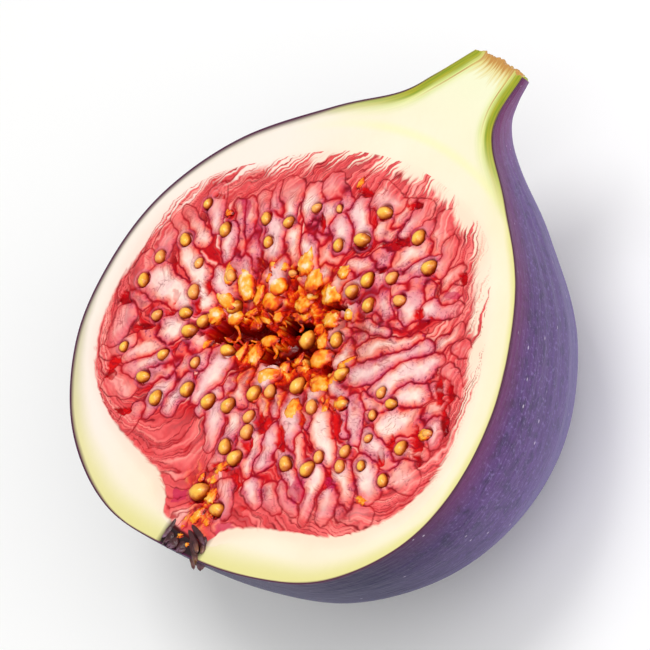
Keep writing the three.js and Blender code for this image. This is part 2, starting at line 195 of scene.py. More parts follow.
def rind():
    """The skin's surface, closed by three more: straight lines from its last row down to the stem's chord, straight
    lines from the face's rim in to the pulp's edge, and a half-round bowl under that edge."""
    skin, share, turn = skin_surface()
    stem_row = skin[-1:]
    drop = np.linspace(0, 1, STEM_END_ROWS + 1)[:, None, None]
    chord = skin[-1, 0] + (skin[-1, -1] - skin[-1, 0]) * (turn[-1] / math.pi)[:, None]
    stem_end = stem_row * (1 - drop) + chord[None] * drop
    bulge = noise(stem_end[..., 0] * 1.1, stem_end[..., 2] * 1.1, 9)
    bulge += 0.5 * noise(stem_end[..., 0] * 3.2, stem_end[..., 2] * 3.2, 10)
    inward = 1 - np.abs(1 - 2 * turn[-1:] / math.pi) ** 6
    stem_end[..., 1] += (0.35 * bulge + 0.25 * inward) * inward * smooth(0, 0.3, drop[..., 0])
    # Round the cut face: up the right side, across the stem's end and down the left side to the eye.
    rim = np.concatenate([skin[:-1, 0], stem_end[-1], skin[-2::-1, -1]])
    rim[:, 2] = 0
    angle = np.arctan2(rim[:, 1] - HOLLOW[1], rim[:, 0] - HOLLOW[0])
    inner_reach = edge_of_pulp(angle) + PULP_MARGIN
    inner = np.stack([HOLLOW[0] + inner_reach * np.cos(angle),
                      HOLLOW[1] + inner_reach * np.sin(angle), 0 * angle], -1)
    way = np.linspace(0, 1, FACE_STEPS + 1)[:, None, None] ** 1.5
    face = rim[None] * (1 - way) + inner[None] * way
    # The wall runs on a little under the pulp's edge, so no gap shows between them.
    ledge = inner.copy()
    ledge[:, :2] = HOLLOW + (inner[:, :2] - HOLLOW) * LEDGE_SHARE
    ledge[:, 2] = -LEDGE_DROP
    sink = np.linspace(0, math.pi / 2, 10)[:, None]
    reach = LEDGE_SHARE * inner_reach[None] * np.cos(sink)
    bowl = np.stack([HOLLOW[0] + reach * np.cos(angle), HOLLOW[1] + reach * np.sin(angle),
                     -LEDGE_DROP - (PULP_DEPTH + 0.3) * np.sin(sink) + 0 * reach], -1)
    bowl = np.concatenate([inner[None], ledge[None], bowl[1:]])
    points = np.concatenate([g.reshape(-1, 3) for g in (skin, stem_end, face, bowl)])
    edge = np.concatenate([skin[::-1, 0], skin[:, -1]])[:, :2]
    edge_start, edge_way = edge[:-1], np.diff(edge, axis=0)
    edge_square = np.maximum((edge_way**2).sum(-1), 1e-12)
    # Distances from the skin on the cut face, row by row, and 9 mm under it.
    from_skin = np.full(len(points), 9.0)
    skin_count = skin.shape[0] * skin.shape[1]
    first = skin_count + stem_end.shape[0] * stem_end.shape[1]
    for step in range(FACE_STEPS + 1):
        off = face[step, :, None, :2] - edge_start[None]
        t = np.clip((off * edge_way).sum(-1) / edge_square, 0, 1)
        near = np.linalg.norm(off - t[..., None] * edge_way, axis=-1).min(1)
        from_skin[first + step * len(rim):first + (step + 1) * len(rim)] = near
    from_skin[:skin_count] = 0
    # On the stem's end the distance grows to 3 mm at its chord.
    section = np.abs(stem_end[..., 2]) / np.maximum(np.abs(stem_row[..., 2]), 1e-6)
    from_skin[skin_count:first] = (3.0 * (1 - section)).ravel()
    off_x, off_y = points[:, 0] - HOLLOW[0], points[:, 1] - HOLLOW[1]
    to_pulp = np.hypot(off_x, off_y) - edge_of_pulp(np.arctan2(off_y, off_x))
    along = np.zeros(len(points))
    along[:skin_count] = share.ravel()
    along[skin_count:first] = 1
    along[first:first + len(rim)] = np.concatenate([share[:-1, 0], np.ones(SKIN_COLUMNS + 1), share[-2::-1, -1]])
    around = np.zeros(len(points))
    around[:skin_count] = turn.ravel()
    around[skin_count:first] = np.tile(turn[-1], STEM_END_ROWS + 1)
    around[first:first + len(rim)] = np.concatenate([0 * share[:-1, 0], turn[-1], turn[-2::-1, -1]])
    return grid_mesh(
        "skin_and_wall",
        [(skin, False, 0), (stem_end, False, 1), (face, True, 1), (bowl, True, 1)],
        {"from_skin": from_skin, "to_pulp": to_pulp, "along": SKIN_LENGTH * along, "around": SKIN_GIRTH * around},
        [fig_skin(), wall_flesh()],
    )


def add_node(tree, kind, inputs=None, **settings):
    """A node of the given kind with its settings; each input is given a value or another node's output."""
    made = tree.nodes.new(kind)
    for name, value in settings.items():
        setattr(made, name, value)
    for name, value in (inputs or {}).items():
        if isinstance(value, bpy.types.NodeSocket):
            tree.links.new(value, made.inputs[name])
        else:
            made.inputs[name].default_value = value
    return made


def colour(hex_value):
    """An sRGB hex colour as linear red, green, blue and alpha."""
    parts = [int(hex_value[i:i + 2], 16) / 255 for i in (1, 3, 5)]
    return tuple(p / 12.92 if p <= 0.04045 else ((p + 0.055) / 1.055) ** 2.4 for p in parts) + (1.0,)


def carried(tree, name):
    """A number that the piece carries at each of its points."""
    return add_node(tree, "ShaderNodeAttribute", attribute_name=name).outputs["Fac"]


def grain(tree, place, scale, detail):
    """Cloudy noise of about 0.3 to 0.7, with scale lumps to the unit of the place."""
    return add_node(tree, "ShaderNodeTexNoise", {0: place, "Scale": scale, "Detail": detail}).outputs["Fac"]


def arithmetic(tree, operation, *values, held=False):
    """One step of arithmetic on the values. Held, the result stays between 0 and 1."""
    return add_node(tree, "ShaderNodeMath", dict(enumerate(values)), operation=operation, use_clamp=held).outputs[0]


def times(tree, a, b):
    """Two values multiplied."""
    return arithmetic(tree, "MULTIPLY", a, b)


def between(tree, value, low, high, at_low, at_high, smooth_ends=False):
    """Runs from at_low to at_high while value runs from low to high, and stays level beyond them."""
    return add_node(tree, "ShaderNodeMapRange", {0: value, 1: low, 2: high, 3: at_low, 4: at_high},
                    interpolation_type="SMOOTHSTEP" if smooth_ends else "LINEAR").outputs[0]


def layer(tree, below, above, share):
    """A colour laid over another by a share. Both can be hex colours or another node's output."""
    below, above = (colour(tone) if isinstance(tone, str) else tone for tone in (below, above))
    return add_node(tree, "ShaderNodeMix", {0: share, 6: below, 7: above}, data_type="RGBA").outputs[2]


def ramp(tree, value, stops):
    """Colours at places from 0 to 1, blended between."""
    made = add_node(tree, "ShaderNodeValToRGB", {0: value})
    elements = made.color_ramp.elements
    while len(elements) < len(stops):
        elements.new(1.0)
    for element, (place, hex_value) in zip(elements, stops):
        element.position = place
        element.color = colour(hex_value)
    return made.outputs[0]


def start_material(name, settings):
    """A new material with the plain settings of its shader, and its node tree with the place on the object."""
    made = bpy.data.materials.new(name)
    made.use_nodes = True
    for key, value in settings.items():
        made.node_tree.nodes["Principled BSDF"].inputs[key].default_value = value
    spot = add_node(made.node_tree, "ShaderNodeTexCoord").outputs["Object"]
    return made, made.node_tree, spot


def cover(tree, **values):
    """Joins values to inputs of the shader, named with an underscore for a space."""
    for key, value in values.items():
        tree.links.new(value, tree.nodes["Principled BSDF"].inputs[key.replace("_", " ")])


def raise_surface(tree, height, strength, distance):
    """Small relief that follows a height, with the distance in metres."""
    bump = add_node(tree, "ShaderNodeBump", {"Height": height, "Strength": strength, "Distance": distance})
    cover(tree, Normal=bump.outputs[0])


def fig_skin():
    """Ripe fig skin: matt, violet-black, with a whitish wax bloom that lies in fine lengthwise streaks, a wine
    tint along the cut and at the neck, and a few tiny pale pores. A painted sheen lightens the right side, and
    painted shade darkens the skin towards the eye."""
    made, tree, spot = start_material("ripe_fig_skin", {
        "IOR": 1.42, "Specular IOR Level": 0.35, "Sheen Weight": 0.14, "Sheen Roughness": 0.45,
        "Sheen Tint": colour("#a69ae6"),
    })
    along, around = carried(tree, "along"), carried(tree, "around")
    _, to_stem, height = add_node(tree, "ShaderNodeSeparateXYZ", {0: spot}).outputs
    face_height = EYE[2] / 1000
    lie = add_node(tree, "ShaderNodeCombineXYZ", {0: around, 1: along}).outputs[0]
    # Streaks 0.3 mm wide and about 2.5 mm long.
    streak_place = add_node(tree, "ShaderNodeMapping", {0: lie, 3: (3.0, 0.42, 1)}).outputs[0]
    streaks = grain(tree, streak_place, 1.0, 4.0)
    patches = grain(tree, spot, 130.0, 4.0)
    mottle = grain(tree, spot, 900.0, 3.0)
    dust = grain(tree, spot, 2600.0, 2.0)
    flank_sheen = times(tree, between(tree, around, 3.0, 17.0, 0.0, 0.5), between(tree, around, 20.0, 32.0, 1.0, 0.1))
    pore_place = add_node(tree, "ShaderNodeMapping", {0: lie, 3: (1.0, 0.75, 1)}).outputs[0]
    pores = add_node(tree, "ShaderNodeTexVoronoi", {0: pore_place, "Scale": 1.0}).outputs
    pore = times(tree, between(tree, pores["Distance"], 0.05, 0.1, 0.75, 0.0),
                 between(tree, pores["Color"], 0.42, 0.5, 0.0, 1.0))
    skin = layer(tree, "#351b4e", "#5e3676", patches)
    for tone, share in (
        # Wax in the streaks, darker specks, a wine tint at the neck, and wax dust in grains of a third of a mm.
        ("#8a74b2", between(tree, streaks, 0.46, 0.7, 0.0, 0.22)),
        ("#2c1e42", between(tree, mottle, 0.48, 0.68, 0.0, 0.75)),
        ("#a26c8e", between(tree, along, 46.0, 58.0, 0.0, 0.85)),
        ("#a892d0", between(tree, dust, 0.56, 0.7, 0.0, 0.25)),
        # A wine tint along the cut.
        ("#662456", between(tree, height, face_height - 0.0034, face_height - 0.0006, 0.0, 0.85)),
        # A painted sheen lightens the lower right side of the skin, where it turns away out of sight.
        ("#7c76a6", flank_sheen),
        # Painted shade darkens the skin towards the eye, at the bottom of the fruit.
        ("#1a1838", between(tree, to_stem, -0.02, -0.007, 0.92, 0.0)),
        # The knife's edge left the skin itself bare, in a line a third of a mm wide.
        ("#4a1238", between(tree, height, face_height - 0.00045, face_height - 0.00015, 0.0, 0.85)),
        ("#c9bcd0", pore),
    ):
        skin = layer(tree, skin, tone, share)
    cover(tree, Base_Color=skin, Roughness=between(tree, streaks, 0.3, 0.7, 0.42, 0.6))
    raise_surface(tree, arithmetic(tree, "ADD", streaks, mottle), 0.35, 0.0003)
    return made


def wall_layers(tree):
    """The colour of the cut wall: cream flesh, greenish under the skin, with green strands in the neck, a faint
    yellow vein round the pulp, a pink stain beside it, a tan end of the stem, the dark red mouth of the eye with
    painted shade, and the skin as a thin dark line."""
    spot = add_node(tree, "ShaderNodeTexCoord").outputs["Object"]
    from_skin = carried(tree, "from_skin")
    to_pulp = carried(tree, "to_pulp")
    to_right, to_stem, _ = add_node(tree, "ShaderNodeSeparateXYZ", {0: spot}).outputs
    cloud = grain(tree, spot, 160.0, 4.0)
    wall = layer(tree, "#f8eed8", "#eee1c2", cloud)
    # Towards the skin the flesh turns yellower.
    yellower = between(tree, from_skin, 0.4, 3.0, 0.3, 0.0)
    wall = layer(tree, wall, "#efe8a4", yellower)
    # The neck's core is whiter and greener.
    up = between(tree, to_stem, 0.016, 0.028, 0.0, 0.8)
    wall = layer(tree, wall, "#edf0ca", up)
    # A yellow vein about 4.5 mm outside the pulp, in the half towards the stem.
    vein_out = between(tree, to_pulp, 3.7, 4.5, 0.0, 1.0, smooth_ends=True)
    vein_in = between(tree, to_pulp, 4.5, 5.4, 1.0, 0.0, smooth_ends=True)
    vein_up = between(tree, to_stem, 0.004, 0.012, 0.0, 0.4)
    vein_at = times(tree, vein_out, vein_in)
    vein = times(tree, vein_at, vein_up)
    wall = layer(tree, wall, "#f3f0a6", vein)
    # Under the skin: grey-olive on the left, yellow-green on the right, and a wide yellow-green band at the eye.
    wobble = arithmetic(tree, "MULTIPLY_ADD", cloud, 0.9, -0.45)
    low = between(tree, to_stem, -0.025, -0.012, 1.0, 0.0)
    left = between(tree, to_right, -0.017, -0.006, 1.0, 0.0)
    wall = layer(tree, wall, "#f6e9dc", left)
    band_width = arithmetic(tree, "MULTIPLY_ADD", low, 2.2, 1.0)
    depth = arithmetic(tree, "ADD", from_skin, wobble)
    depth = arithmetic(tree, "DIVIDE", depth, band_width)
    rim_green = between(tree, depth, 0.1, 1.05, 0.75, 0.0, smooth_ends=True)
    upper_left = arithmetic(tree, "SUBTRACT", left, low, held=True)
    rim_tone = layer(tree, "#ddd67e", "#9c987a", upper_left)
    wall = layer(tree, wall, rim_tone, rim_green)
    # Fibres run lengthwise through the stem, a quarter of a mm apart.
    drawn = add_node(tree, "ShaderNodeCombineXYZ", {0: from_skin, 1: to_stem}).outputs[0]
    drawn = add_node(tree, "ShaderNodeMapping", {0: drawn, 3: (3.6, 240.0, 1.0)}).outputs[0]
    fibres = grain(tree, drawn, 1.0, 3.0)
    fibre = between(tree, fibres, 0.36, 0.64, 0.0, 1.0)
    neck = between(tree, to_stem, 0.0165, 0.023, 0.0, 1.0)
    pale_band = between(tree, from_skin, 1.0, 2.5, 0.85, 0.0, smooth_ends=True)
    pale_green = times(tree, neck, pale_band)
    pale_tone = layer(tree, "#c3d35c", "#e0e48a", fibre)
    wall = layer(tree, wall, pale_tone, pale_green)
    deep_band = between(tree, from_skin, 0.7, 1.35, 1.0, 0.0, smooth_ends=True)
    deep_green = times(tree, neck, deep_band)
    deep_tone = layer(tree, "#82951c", "#b2ac2e", fibre)
    wall = layer(tree, wall, deep_tone, deep_green)
    # A brown latex vessel runs between the two greens near the stem's end.
    vessel_at = arithmetic(tree, "COMPARE", from_skin, 1.45, 0.09)
    vessel_up = between(tree, to_stem, 0.022, 0.027, 0.0, 0.7)
    vessel = times(tree, vessel_at, vessel_up)
    wall = layer(tree, wall, "#b5793a", vessel)
    # The stem's torn end has dried to tan, fibre by fibre.
    torn = arithmetic(tree, "MULTIPLY_ADD", fibre, 0.0011, to_stem)
    inner = between(tree, from_skin, 0.9, 1.8, 0.0, 1.0)
    dry = between(tree, torn, 0.0282, 0.0302, 0.0, 0.95)
    dry = times(tree, dry, inner)
    tan = between(tree, torn, 0.0294, 0.0304, 0.0, 1.0)
    tan_tone = layer(tree, "#dfc968", "#bf8434", tan)
    wall = layer(tree, wall, tan_tone, dry)
    # Juice has stained the wall pink beside the pulp.
    stain_at = arithmetic(tree, "MULTIPLY_ADD", cloud, 1.6, -0.4)
    stain_near = arithmetic(tree, "SUBTRACT", to_pulp, stain_at)
    stain = between(tree, stain_near, 0.0, 1.7, 0.3, 0.0, smooth_ends=True)
    wall = layer(tree, wall, "#f6bfae", stain)
    # The mouth of the eye, 6 mm wide, where the walls stop and dark red flesh shows between the scales, with
    # painted shade of the hollow that turns it near black towards the eye.
    aside = arithmetic(tree, "SUBTRACT", to_right, EYE[0] / 1000 - 0.0003)
    aside = arithmetic(tree, "ABSOLUTE", aside)
    within = between(tree, aside, 0.0026, 0.0034, 1.0, 0.0)
    lowest = between(tree, to_stem, EYE[1] / 1000 + 0.0024, EYE[1] / 1000 + 0.0034, 1.0, 0.0)
    mouth = times(tree, within, lowest)
    deeper = between(tree, to_stem, EYE[1] / 1000 + 0.0002, EYE[1] / 1000 + 0.0028, 0.0, 1.0)
    dark = layer(tree, "#240c12", "#a8282a", deeper)
    wall = layer(tree, wall, dark, mouth)
    # The skin shows as a dark line, a third of a mm wide and soft on the left, and thinner on the right. At the
    # end of the stem it is green as well.
    line_start = arithmetic(tree, "MULTIPLY_ADD", left, 0.06, 0.09)
    uneven = arithmetic(tree, "MULTIPLY_ADD", cloud, 0.3, 0.08)
    line_end = arithmetic(tree, "MULTIPLY_ADD", left, 0.4, uneven)
    skin_line = between(tree, from_skin, line_start, line_end, 1.0, 0.0)
    tipped = between(tree, to_stem, 0.023, 0.027, 1.0, 0.25)
    shown = times(tree, skin_line, tipped)
    wall = layer(tree, wall, "#4c103a", shown)
    return wall


def wall_flesh():
    """Fresh-cut fig wall: soft, moist and smooth from the knife."""
    made, tree, spot = start_material("fresh_cut_fig_wall", {"Roughness": 0.42, "IOR": 1.38})
    fine = grain(tree, spot, 1400.0, 3.0)
    cover(tree, Base_Color=wall_layers(tree))
    raise_surface(tree, fine, 0.15, 0.0002)
    return made


rind_piece = rind()
rind_piece.data.set_sharp_from_angle(angle=math.radians(50))
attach(rind_piece, "root")
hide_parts("rind")


# The pulp: hundreds of florets, each a soft drop of flesh on a stalk. The knife sliced the outer ones lengthwise,
# so they show as pale lobes with crimson skins, packed like shingles, and their stalks as salmon strands that run
# into the wall. It is one wet, uneven surface that sinks towards the hollow.
SLOT = {"length": 13.6, "width": 5.0, "turn": math.radians(25)}
DISH_SHARE, DISH_DEPTH = 0.42, 2.6
PULP_QUARTERS = {"pulp_lower_left": (0, 0), "pulp_lower_right": (0, 1), "pulp_upper_left": (1, 0),
                 "pulp_upper_right": (1, 1)}
QUARTER_STEPS = 280
FLORET_RINGS = [
    {"count": 46, "inner": 0.72, "outer": 0.99, "half_width": 1.0},
    {"count": 34, "inner": 0.5, "outer": 0.9, "half_width": 1.45},
    {"count": 28, "inner": 0.33, "outer": 0.63, "half_width": 1.3},
    {"count": 22, "inner": 0.2, "outer": 0.43, "half_width": 1.15},
]
# The photograph's view: 10 pixels are 1 mm, the camera leans 43 degrees over to the fruit's right-hand side, and
# the stem points up and to the right.
VIEW_TILT = math.radians(43)
PIXELS_TO_MM = 10
EYE_PIXEL = np.array([186.0, 541.0])
STEM_WAY = np.array([0.5446, -0.8387])
# The largest lobes, by the pixels of the photograph at their two ends and their half width in mm.
BIG_LOBES = [
    (202, 288, 177, 221, 1.1), (196, 231, 188, 215, 0.9), (163, 236, 153, 256, 0.9), (143, 266, 136, 276, 1.2),
    (156, 281, 177, 298, 1.6), (215, 198, 214, 215, 0.9), (240, 211, 242, 252, 0.6), (263, 205, 260, 231, 0.8),
    (253, 237, 252, 260, 0.9), (271, 231, 274, 252, 1.1), (291, 192, 291, 214, 1.0), (292, 237, 292, 256, 0.9),
    (230, 237, 228, 249, 0.9), (119, 318, 112, 334, 1.1), (167, 330, 146, 339, 1.2), (143, 346, 133, 354, 1.6),
    (192, 349, 182, 359, 1.0), (120, 345, 107, 349, 0.8), (222, 283, 236, 300, 1.1), (244, 270, 246, 295, 1.2),
    (277, 279, 277, 294, 1.4), (313, 198, 315, 215, 1.0), (335, 189, 341, 199, 1.1), (361, 214, 363, 231, 1.2),
    (387, 198, 397, 203, 1.0), (405, 215, 395, 224, 0.8), (418, 217, 410, 231, 1.0), (443, 229, 438, 242, 1.2),
    (444, 254, 440, 266, 1.0), (360, 265, 372, 261, 0.8), (384, 261, 405, 272, 0.8), (378, 287, 383, 274, 1.0),
    (379, 300, 385, 314, 1.1), (418, 293, 402, 289, 0.8), (412, 300, 409, 313, 1.3), (430, 309, 450, 309, 1.0),
    (356, 326, 379, 331, 0.7), (346, 335, 357, 340, 1.3), (382, 318, 406, 325, 0.5), (341, 231, 339, 243, 1.0),
    (327, 252, 332, 256, 0.9), (319, 229, 321, 242, 0.8), (387, 231, 389, 233, 1.0), (309, 252, 309, 267, 1.2),
    (362, 372, 420, 351, 0.9), (348, 349, 352, 338, 1.3), (369, 351, 409, 341, 0.7), (391, 382, 428, 364, 1.4),
    (399, 419, 410, 419, 1.6), (407, 397, 419, 393, 1.4), (355, 412, 354, 432, 1.0), (346, 412, 345, 427, 0.7),
    (372, 445, 390, 459, 1.1), (400, 473, 406, 477, 1.2), (433, 429, 432, 438, 0.9), (320, 427, 327, 452, 1.1),
    (364, 470, 368, 485, 1.2), (343, 477, 346, 501, 1.0), (358, 512, 346, 509, 0.9), (312, 481, 306, 510, 0.9),
    (328, 501, 325, 509, 0.9), (291, 411, 288, 442, 1.1), (311, 405, 309, 415, 1.0), (297, 447, 300, 462, 0.7),
    (369, 401, 381, 404, 0.8), (430, 412, 418, 419, 0.8), (451, 378, 457, 387, 0.7), (184, 361, 178, 375, 1.1),
    (177, 388, 169, 407, 1.1), (217, 367, 201, 389, 1.3), (214, 416, 210, 435, 1.0), (234, 420, 230, 438, 0.9),
    (243, 388, 240, 401, 1.0), (127, 423, 133, 414, 0.9), (112, 384, 120, 387, 1.1), (159, 372, 150, 376, 0.8),
    (265, 377, 261, 385, 1.4), (254, 444, 248, 463, 0.8), (272, 443, 265, 458, 1.0), (252, 490, 254, 499, 0.9),
    (160, 390, 148, 406, 1.0), (221, 454, 216, 460, 0.7), (463, 352, 466, 354, 0.7), (352, 313, 354, 316, 0.9),
]
# Pits of the hollow between the florets' tips, and the deepest of them, with painted shade in them: middle and
# half sizes in pixels.
PITS = [(228, 334, 23, 9), (252, 331, 12, 10), (296, 327, 15, 9), (276, 357, 13, 10), (292, 350, 12, 9),
        (311, 354, 7, 11), (337, 308, 10, 3), (268, 338, 10, 6), (257, 323, 9, 9), (326, 369, 5, 4)]
DEEPEST = [(222, 338, 11, 4), (243, 340, 9, 5), (292, 326, 12, 7), (274, 362, 9, 4), (311, 354, 6, 8),
           (338, 308, 9, 2.5), (256, 340, 7, 4)]
# Pools of dark red juice, and patches stained magenta: middle and half sizes in pixels.
JUICE = [
    (366, 192, 6, 5), (323, 221, 3, 7), (419, 314, 8, 5), (408, 242, 9, 5), (382, 271, 4, 3), (462, 279, 4, 6),
    (415, 206, 6, 4), (361, 249, 9, 4), (437, 390, 4, 17), (448, 391, 4, 9), (442, 422, 4, 13), (416, 445, 5, 20),
    (391, 444, 5, 7), (336, 423, 5, 15), (290, 464, 3, 9), (121, 412, 9, 4), (260, 424, 6, 11), (248, 443, 6, 8),
    (281, 436, 4, 15), (202, 499, 13, 6), (222, 467, 11, 4), (107, 375, 6, 6), (119, 298, 6, 6), (141, 326, 12, 3),
    (108, 363, 6, 7), (174, 295, 3, 7), (196, 303, 5, 9), (206, 288, 3, 9), (260, 263, 4, 7), (202, 207, 4, 4),
    (228, 211, 4, 3), (217, 194, 5, 3), (380, 455, 4, 8), (327, 375, 5, 5), (214, 333, 12, 9), (351, 300, 4, 5),
    (305, 404, 3, 8), (375, 222, 3, 8), (302, 420, 3, 8),
]
STAINS = [(298, 489, 8, 12), (225, 528, 9, 6), (178, 496, 7, 7), (245, 205, 5, 9), (452, 296, 9, 4), (330, 482, 6, 6)]
# At the lower left only stalks show, combed towards the eye: middle and radius in pixels.
COMBED = (165, 475, 62)
# The bare seeds, by the pixel at each one's middle, its length in mm and how far it leans round. From this one on,
# those shorter than 1.9 mm lie under a film.
FIRST_VEILED = 39
SEEDS = [
    (183, 238, 1.75, 100), (140, 279, 1.8, 85), (184, 313, 1.7, 0), (202, 321, 1.7, 40), (188, 331, 2.0, 10),
    (227, 351, 1.9, 0), (120, 347, 1.3, 60), (161, 355, 1.5, 30), (268, 241, 1.5, 90), (266, 217, 1.6, 90),
    (289, 221, 1.5, 45), (224, 228, 1.8, 80), (206, 201, 1.3, 60), (386, 213, 2.0, 0), (363, 240, 2.1, 0),
    (339, 245, 1.6, 80), (419, 238, 1.9, 60), (429, 268, 2.0, 30), (368, 280, 1.9, 60), (353, 291, 1.8, 30),
    (369, 305, 1.8, 60), (337, 340, 1.9, 80), (308, 340, 2.2, 60), (342, 374, 1.9, 30), (254, 394, 2.0, 60),
    (228, 406, 1.9, 50), (186, 390, 1.9, 50), (141, 378, 1.8, 0), (225, 447, 1.9, 80), (235, 458, 2.0, 40),
    (200, 492, 2.5, 20), (286, 463, 1.9, 95), (308, 468, 2.0, 45), (391, 403, 1.5, 0), (343, 404, 1.5, 20),
    (361, 464, 1.3, 90), (382, 478, 1.6, 90), (400, 446, 1.7, 60), (298, 386, 2.1, 55), (317, 207, 1.3, 30),
    (340, 208, 1.0, 90), (392, 278, 1.6, 40), (400, 301, 1.7, 0), (154, 399, 1.9, 60), (208, 402, 2.0, 45),
    (270, 392, 1.7, 75), (249, 417, 1.6, 50), (247, 432, 1.8, 60), (154, 315, 1.4, 40), (319, 456, 1.5, 80),
    (340, 465, 1.6, 90), (345, 450, 1.5, 60), (372, 414, 1.2, 90), (381, 392, 1.4, 60), (368, 437, 1.1, 40),
    (426, 432, 1.3, 0), (312, 407, 1.8, 90), (217, 510, 2.0, 150), (194, 363, 1.4, 60), (234, 307, 2.1, 20),
    (192, 291, 1.8, 80), (157, 255, 1.6, 70), (230, 275, 1.6, 90), (293, 273, 1.1, 0), (197, 262, 1.3, 60),
]


def from_photo(px, py, depth=0.0):
    """Where a pixel of the photograph falls on a plane that lies depth mm below the cut face."""
    right = (np.asarray(px) - EYE_PIXEL[0]) / PIXELS_TO_MM
    down = (np.asarray(py) - EYE_PIXEL[1]) / PIXELS_TO_MM
    along = right * STEM_WAY[0] + down * STEM_WAY[1]
    across = -right * STEM_WAY[1] + down * STEM_WAY[0]
    return (across - np.asarray(depth) * math.sin(VIEW_TILT)) / math.cos(VIEW_TILT), along


def scatter(i, j):
    """A repeatable random-looking number from 0 to 1 for a pair of whole numbers."""
    s = math.sin(i * 12.9898 + j * 78.233) * 43758.5453
    return s - math.floor(s)


def slot_edge(angle):
    """The polar radius of the oval slot."""
    a, b = SLOT["length"] / 2, SLOT["width"] / 2
    return a * b / np.hypot(b * np.cos(angle - SLOT["turn"]), a * np.sin(angle - SLOT["turn"]))


def bend_at(direction):
    """How far florets bend sideways on their way to the wall."""
    return 0.3 * (0.35 - np.cos(direction - math.radians(135)))


def pulp_place(direction, share):
    """The point at a share of the way from the slot to the wall, along a floret that leaves in a direction."""
    angle = direction + bend_at(direction) * share * share
    reach = slot_edge(angle) + share * (edge_of_pulp(angle) - slot_edge(angle))
    return HOLLOW[0] + reach * np.cos(angle), HOLLOW[1] + reach * np.sin(angle)


def floret_way(x, y):
    """The reverse of pulp_place: the direction in which a point's floret left, found in three rounds, and the
    share of the way to the wall."""
    angle = np.arctan2(y - HOLLOW[1], x - HOLLOW[0])
    away = np.hypot(x - HOLLOW[0], y - HOLLOW[1])
    share = (away - slot_edge(angle)) / (edge_of_pulp(angle) - slot_edge(angle))
    direction = angle
    for _ in range(3):
        direction = angle - bend_at(direction) * np.clip(share, 0, 1.2) ** 2
    return direction, share


def dish(x, y):
    """How deep the pulp as a whole sinks towards the hollow."""
    _, share = floret_way(x, y)
    return DISH_DEPTH * (1 - smooth(-0.1, DISH_SHARE, share))


def seen_place(px, py):
    """Where a pixel of the photograph falls on the sunk surface of the pulp, found in four rounds."""
    depth = 0.0
    for _ in range(4):
        x, y = from_photo(px, py, depth)
        depth = dish(x, y)
    return x, y, depth


def seen_pixel(x, y):
    """The reverse of from_photo on the face plane: the pixel at which a point shows."""
    across = x * math.cos(VIEW_TILT)
    right = y * STEM_WAY[0] - across * STEM_WAY[1]
    down = y * STEM_WAY[1] + across * STEM_WAY[0]
    return EYE_PIXEL[0] + PIXELS_TO_MM * right, EYE_PIXEL[1] + PIXELS_TO_MM * down


def lobes():
    """Both ends and the half width of every lobe: the large ones by their pixels, then the rings of florets,
    leaving out those whose middle lies in a large one."""
    big = np.array(BIG_LOBES, dtype=float)
    ends = np.stack([*from_photo(big[:, 0], big[:, 1]), *from_photo(big[:, 2], big[:, 3]), big[:, 4]], -1)
    # The pixels mark a lobe's pale heart. Its flushed ends reach a little further.
    way = ends[:, 2:4] - ends[:, 0:2]
    grown = 0.1 * way + 0.5 * way / np.maximum(np.linalg.norm(way, axis=1), 0.3)[:, None]
    ends = np.hstack([ends[:, 0:2] - grown, ends[:, 2:4] + grown, ends[:, 4:]])
    for ring, floret in enumerate(FLORET_RINGS):
        made = []
        for k in range(floret["count"]):
            direction = 2 * math.pi * (k + 0.5 * (ring % 2) + 0.45 * (scatter(ring, k) - 0.5)) / floret["count"]
            start = floret["inner"] + 0.05 * (scatter(ring + 10, k) - 0.5)
            half = floret["half_width"] * (0.6 + 0.2 * scatter(ring + 20, k))
            inner = pulp_place(direction, start + 0.05)
            outer = pulp_place(direction, floret["outer"] - 0.1)
            middle = np.array([(inner[0] + outer[0]) / 2, (inner[1] + outer[1]) / 2])
            a, b = ends[:, 0:2], ends[:, 2:4]
            t = ((middle - a) * (b - a)).sum(-1) / np.maximum(((b - a) ** 2).sum(-1), 1e-9)
            near = np.linalg.norm(a + np.clip(t, 0, 1)[:, None] * (b - a) - middle, axis=-1) - ends[:, 4]
            sx, sy = seen_pixel(*middle)
            combed = math.hypot(sx - COMBED[0], sy - COMBED[1]) < COMBED[2]
            if near.min() > 0.35 and not combed:
                made.append([*inner, *outer, half])
        if made:
            ends = np.vstack([ends, made])
    return ends


def disc(steps):
    """A square grid pressed into a disc: each ring of the square becomes a circle, so cells stay about even."""
    u, v = np.meshgrid(np.linspace(-1, 1, steps + 1), np.linspace(-1, 1, steps + 1))
    radius = np.maximum(np.abs(u), np.abs(v))
    sideways = np.abs(u) >= np.abs(v)
    safe_u, safe_v = np.where(u == 0, 1e-12, u), np.where(v == 0, 1e-12, v)
    angle = np.where(sideways, math.pi / 4 * v / safe_u + math.pi * (u < 0),
                     math.pi / 2 - math.pi / 4 * u / safe_v + math.pi * (v < 0))
    return radius, angle


def patches_at(px, py, spots, ragged):
    """1 inside any of the spots (middle and half sizes in pixels), 0 outside, with a ragged edge."""
    most = np.zeros(px.shape)
    for cx, cy, rx, ry in spots:
        most = np.maximum(most, smooth(1.15, 0.85, np.hypot((px - cx) / rx, (py - cy) / ry) * ragged))
    return most


